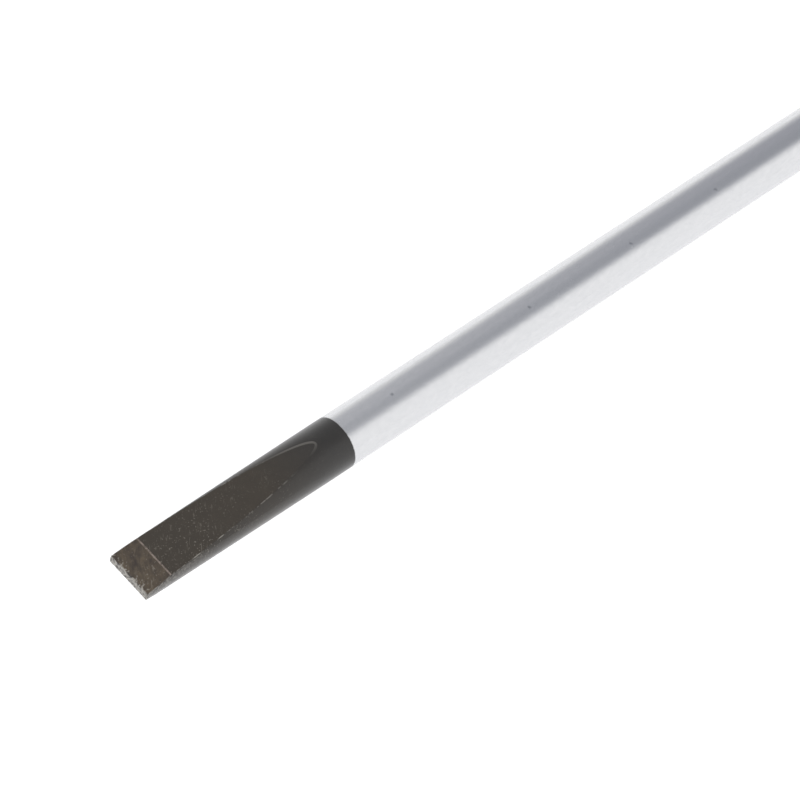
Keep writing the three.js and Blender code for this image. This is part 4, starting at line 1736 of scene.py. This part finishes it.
@dataclass
class Studio:
    """Pale floor, soft light with a broad bright panel on one side, and the camera."""

    floor_height: float = -7.5
    floor_half: float = 4000.0
    floor_lift: float = 0.36
    paper: str = "F4F4F4"
    panel_top: float = 59.5
    wall_height: float = 0.46
    white: Colour = (1.0, 1.0, 1.0, 1.0)
    ceiling: Colour = (0.6, 0.61, 0.64, 1.0)
    ceiling_ahead: Colour = (0.34, 0.35, 0.4, 1.0)
    dim: Colour = (0.35, 0.365, 0.405, 1.0)
    panel: Colour = (1.18, 1.18, 1.19, 1.0)
    dim_way: tuple[float, float, float] = (0.75, 0.0, 0.66)
    aim: tuple[float, float, float] = (21.9616, 0.0334, 0.0)
    distance: float = 242.773
    azimuth: float = -59.3867
    elevation: float = 53.0228
    roll: float = 20.3288
    lens: float = 180.0
    sensor: float = 36.0
    clip_start: float = 10.0

    def floor(self) -> None:
        """Lays the floor, white to the eye and in reflections, with the tool's own shadow on it."""
        material = bpy.data.materials.new("Paper, matt white")
        material.use_nodes = True
        material.node_tree.nodes.clear()
        put = partial(add_node, material.node_tree)
        ray = put("ShaderNodeLightPath").outputs
        seen = {0: ray["Is Camera Ray"], 1: ray["Is Glossy Ray"]}
        direct = put("ShaderNodeMath", seen, operation="MAXIMUM")
        through = {0: direct, 1: ray["Is Transmission Ray"]}
        shown = put("ShaderNodeMath", through, operation="MAXIMUM")
        lift = put("ShaderNodeMath", {0: shown, 1: self.floor_lift}, operation="MULTIPLY")
        paper = put("ShaderNodeBsdfDiffuse", {"Color": linear(self.paper)})
        glow = put("ShaderNodeEmission", {"Strength": lift})
        both = put("ShaderNodeAddShader", {0: paper, 1: glow})
        put("ShaderNodeOutputMaterial", {"Surface": both})
        shape = bmesh.new()
        half = self.floor_half
        corners = [(-half, -half), (half, -half), (half, half), (-half, half)]
        shape.faces.new([shape.verts.new((x, y, self.floor_height)) for x, y in corners])
        made = to_object(shape, "floor")
        made.data.materials.append(material)

    def light(self) -> None:
        """Lights the tool from all round, brighter from the panel on the near side."""
        world = bpy.data.worlds.new("Studio")
        bpy.context.scene.world = world
        world.use_nodes = True
        world.node_tree.nodes.clear()
        put = partial(add_node, world.node_tree)
        way = put("ShaderNodeTexCoord").outputs["Generated"]
        ahead, _, height = put("ShaderNodeSeparateXYZ", {0: way}).outputs

        # White walls under a ceiling that is darker ahead, over the handle
        rise = {"Value": height, "From Max": self.wall_height}
        rise = put("ShaderNodeMapRange", rise, interpolation_type="SMOOTHSTEP")
        deep = put("ShaderNodeMapRange", {"Value": ahead, "From Min": 0.0, "From Max": 0.5})
        upper = {"Factor": deep, "A": self.white, "B": self.ceiling}
        upper = put("ShaderNodeMix", upper, data_type="RGBA")
        deep = put("ShaderNodeMapRange", {"Value": ahead, "From Min": 0.53, "From Max": 0.62})
        upper = {"Factor": deep, "A": upper, "B": self.ceiling_ahead}
        upper = put("ShaderNodeMix", upper, data_type="RGBA")
        walls = {"Factor": rise, "A": self.white, "B": upper}
        room = put("ShaderNodeMix", walls, data_type="RGBA")

        # A dim stretch of ceiling over the shaft
        over = put("ShaderNodeVectorMath", {0: way, 1: self.dim_way}, operation="DOT_PRODUCT")
        patch = {"Value": over, "From Min": 0.89, "From Max": 1.0}
        dim = put("ShaderNodeMapRange", patch, interpolation_type="SMOOTHSTEP")
        ceiling = {"Factor": dim, "A": room, "B": self.dim}
        room = put("ShaderNodeMix", ceiling, data_type="RGBA")

        # The bright panel on the near side
        tilt = math.radians(self.panel_top)
        facing = {0: way, 1: (0.0, -math.sin(tilt), -math.cos(tilt))}
        side = put("ShaderNodeVectorMath", facing, operation="DOT_PRODUCT")
        soft = {"Value": side, "From Min": -0.24, "From Max": 0.2}
        share = put("ShaderNodeMapRange", soft, interpolation_type="SMOOTHSTEP")
        panel = {"Factor": share, "A": room, "B": self.panel}
        sky = put("ShaderNodeMix", panel, data_type="RGBA")
        back = put("ShaderNodeBackground", {"Color": sky})
        put("ShaderNodeOutputWorld", {"Surface": back})

    def camera(self) -> None:
        """Sets the camera at the viewing angle of the photograph."""
        turn = math.radians(self.azimuth)
        rise = math.radians(self.elevation)
        back = Vector(
            (math.sin(turn) * math.cos(rise), -math.cos(turn) * math.cos(rise), math.sin(rise))
        )
        level = Vector((0, 0, 1)).cross(back).normalized()
        right = Matrix.Rotation(math.radians(self.roll), 3, back) @ level
        up = back.cross(right)
        eye = (Vector(self.aim) + back * self.distance) * MM
        lens = bpy.data.cameras.new("Camera")
        lens.lens = self.lens
        lens.sensor_width = self.sensor
        lens.clip_start = self.clip_start * MM
        made = bpy.data.objects.new("Camera", lens)
        made.matrix_world = Matrix.Translation(eye) @ Matrix((right, up, back)).transposed().to_4x4()
        bpy.context.collection.objects.link(made)
        bpy.context.scene.camera = made

    def make(self) -> None:
        """Sets up floor, light and camera."""
        bpy.context.scene.view_settings.view_transform = "Standard"
        self.floor()
        self.light()
        self.camera()


def main() -> None:
    """Builds the studio and every piece of the tool, in order from the tip."""
    logging.basicConfig(level=logging.INFO, format="%(message)s")
    hard = CORE_PLASTIC.material()
    accent = ACCENT_PLASTIC.material()
    soft = SOFT_RUBBER.material()
    Studio().make()
    blade = Blade()
    blade.make()
    HandleCore(blade).make(hard)
    AntiRollCollar().make(accent)
    FrontGrip().make(soft)
    MarkerRing().make(accent)
    SpinnerGrip().make(soft)
    SwivelCap().make(accent, soft)


if __name__ == "__main__":
    main()
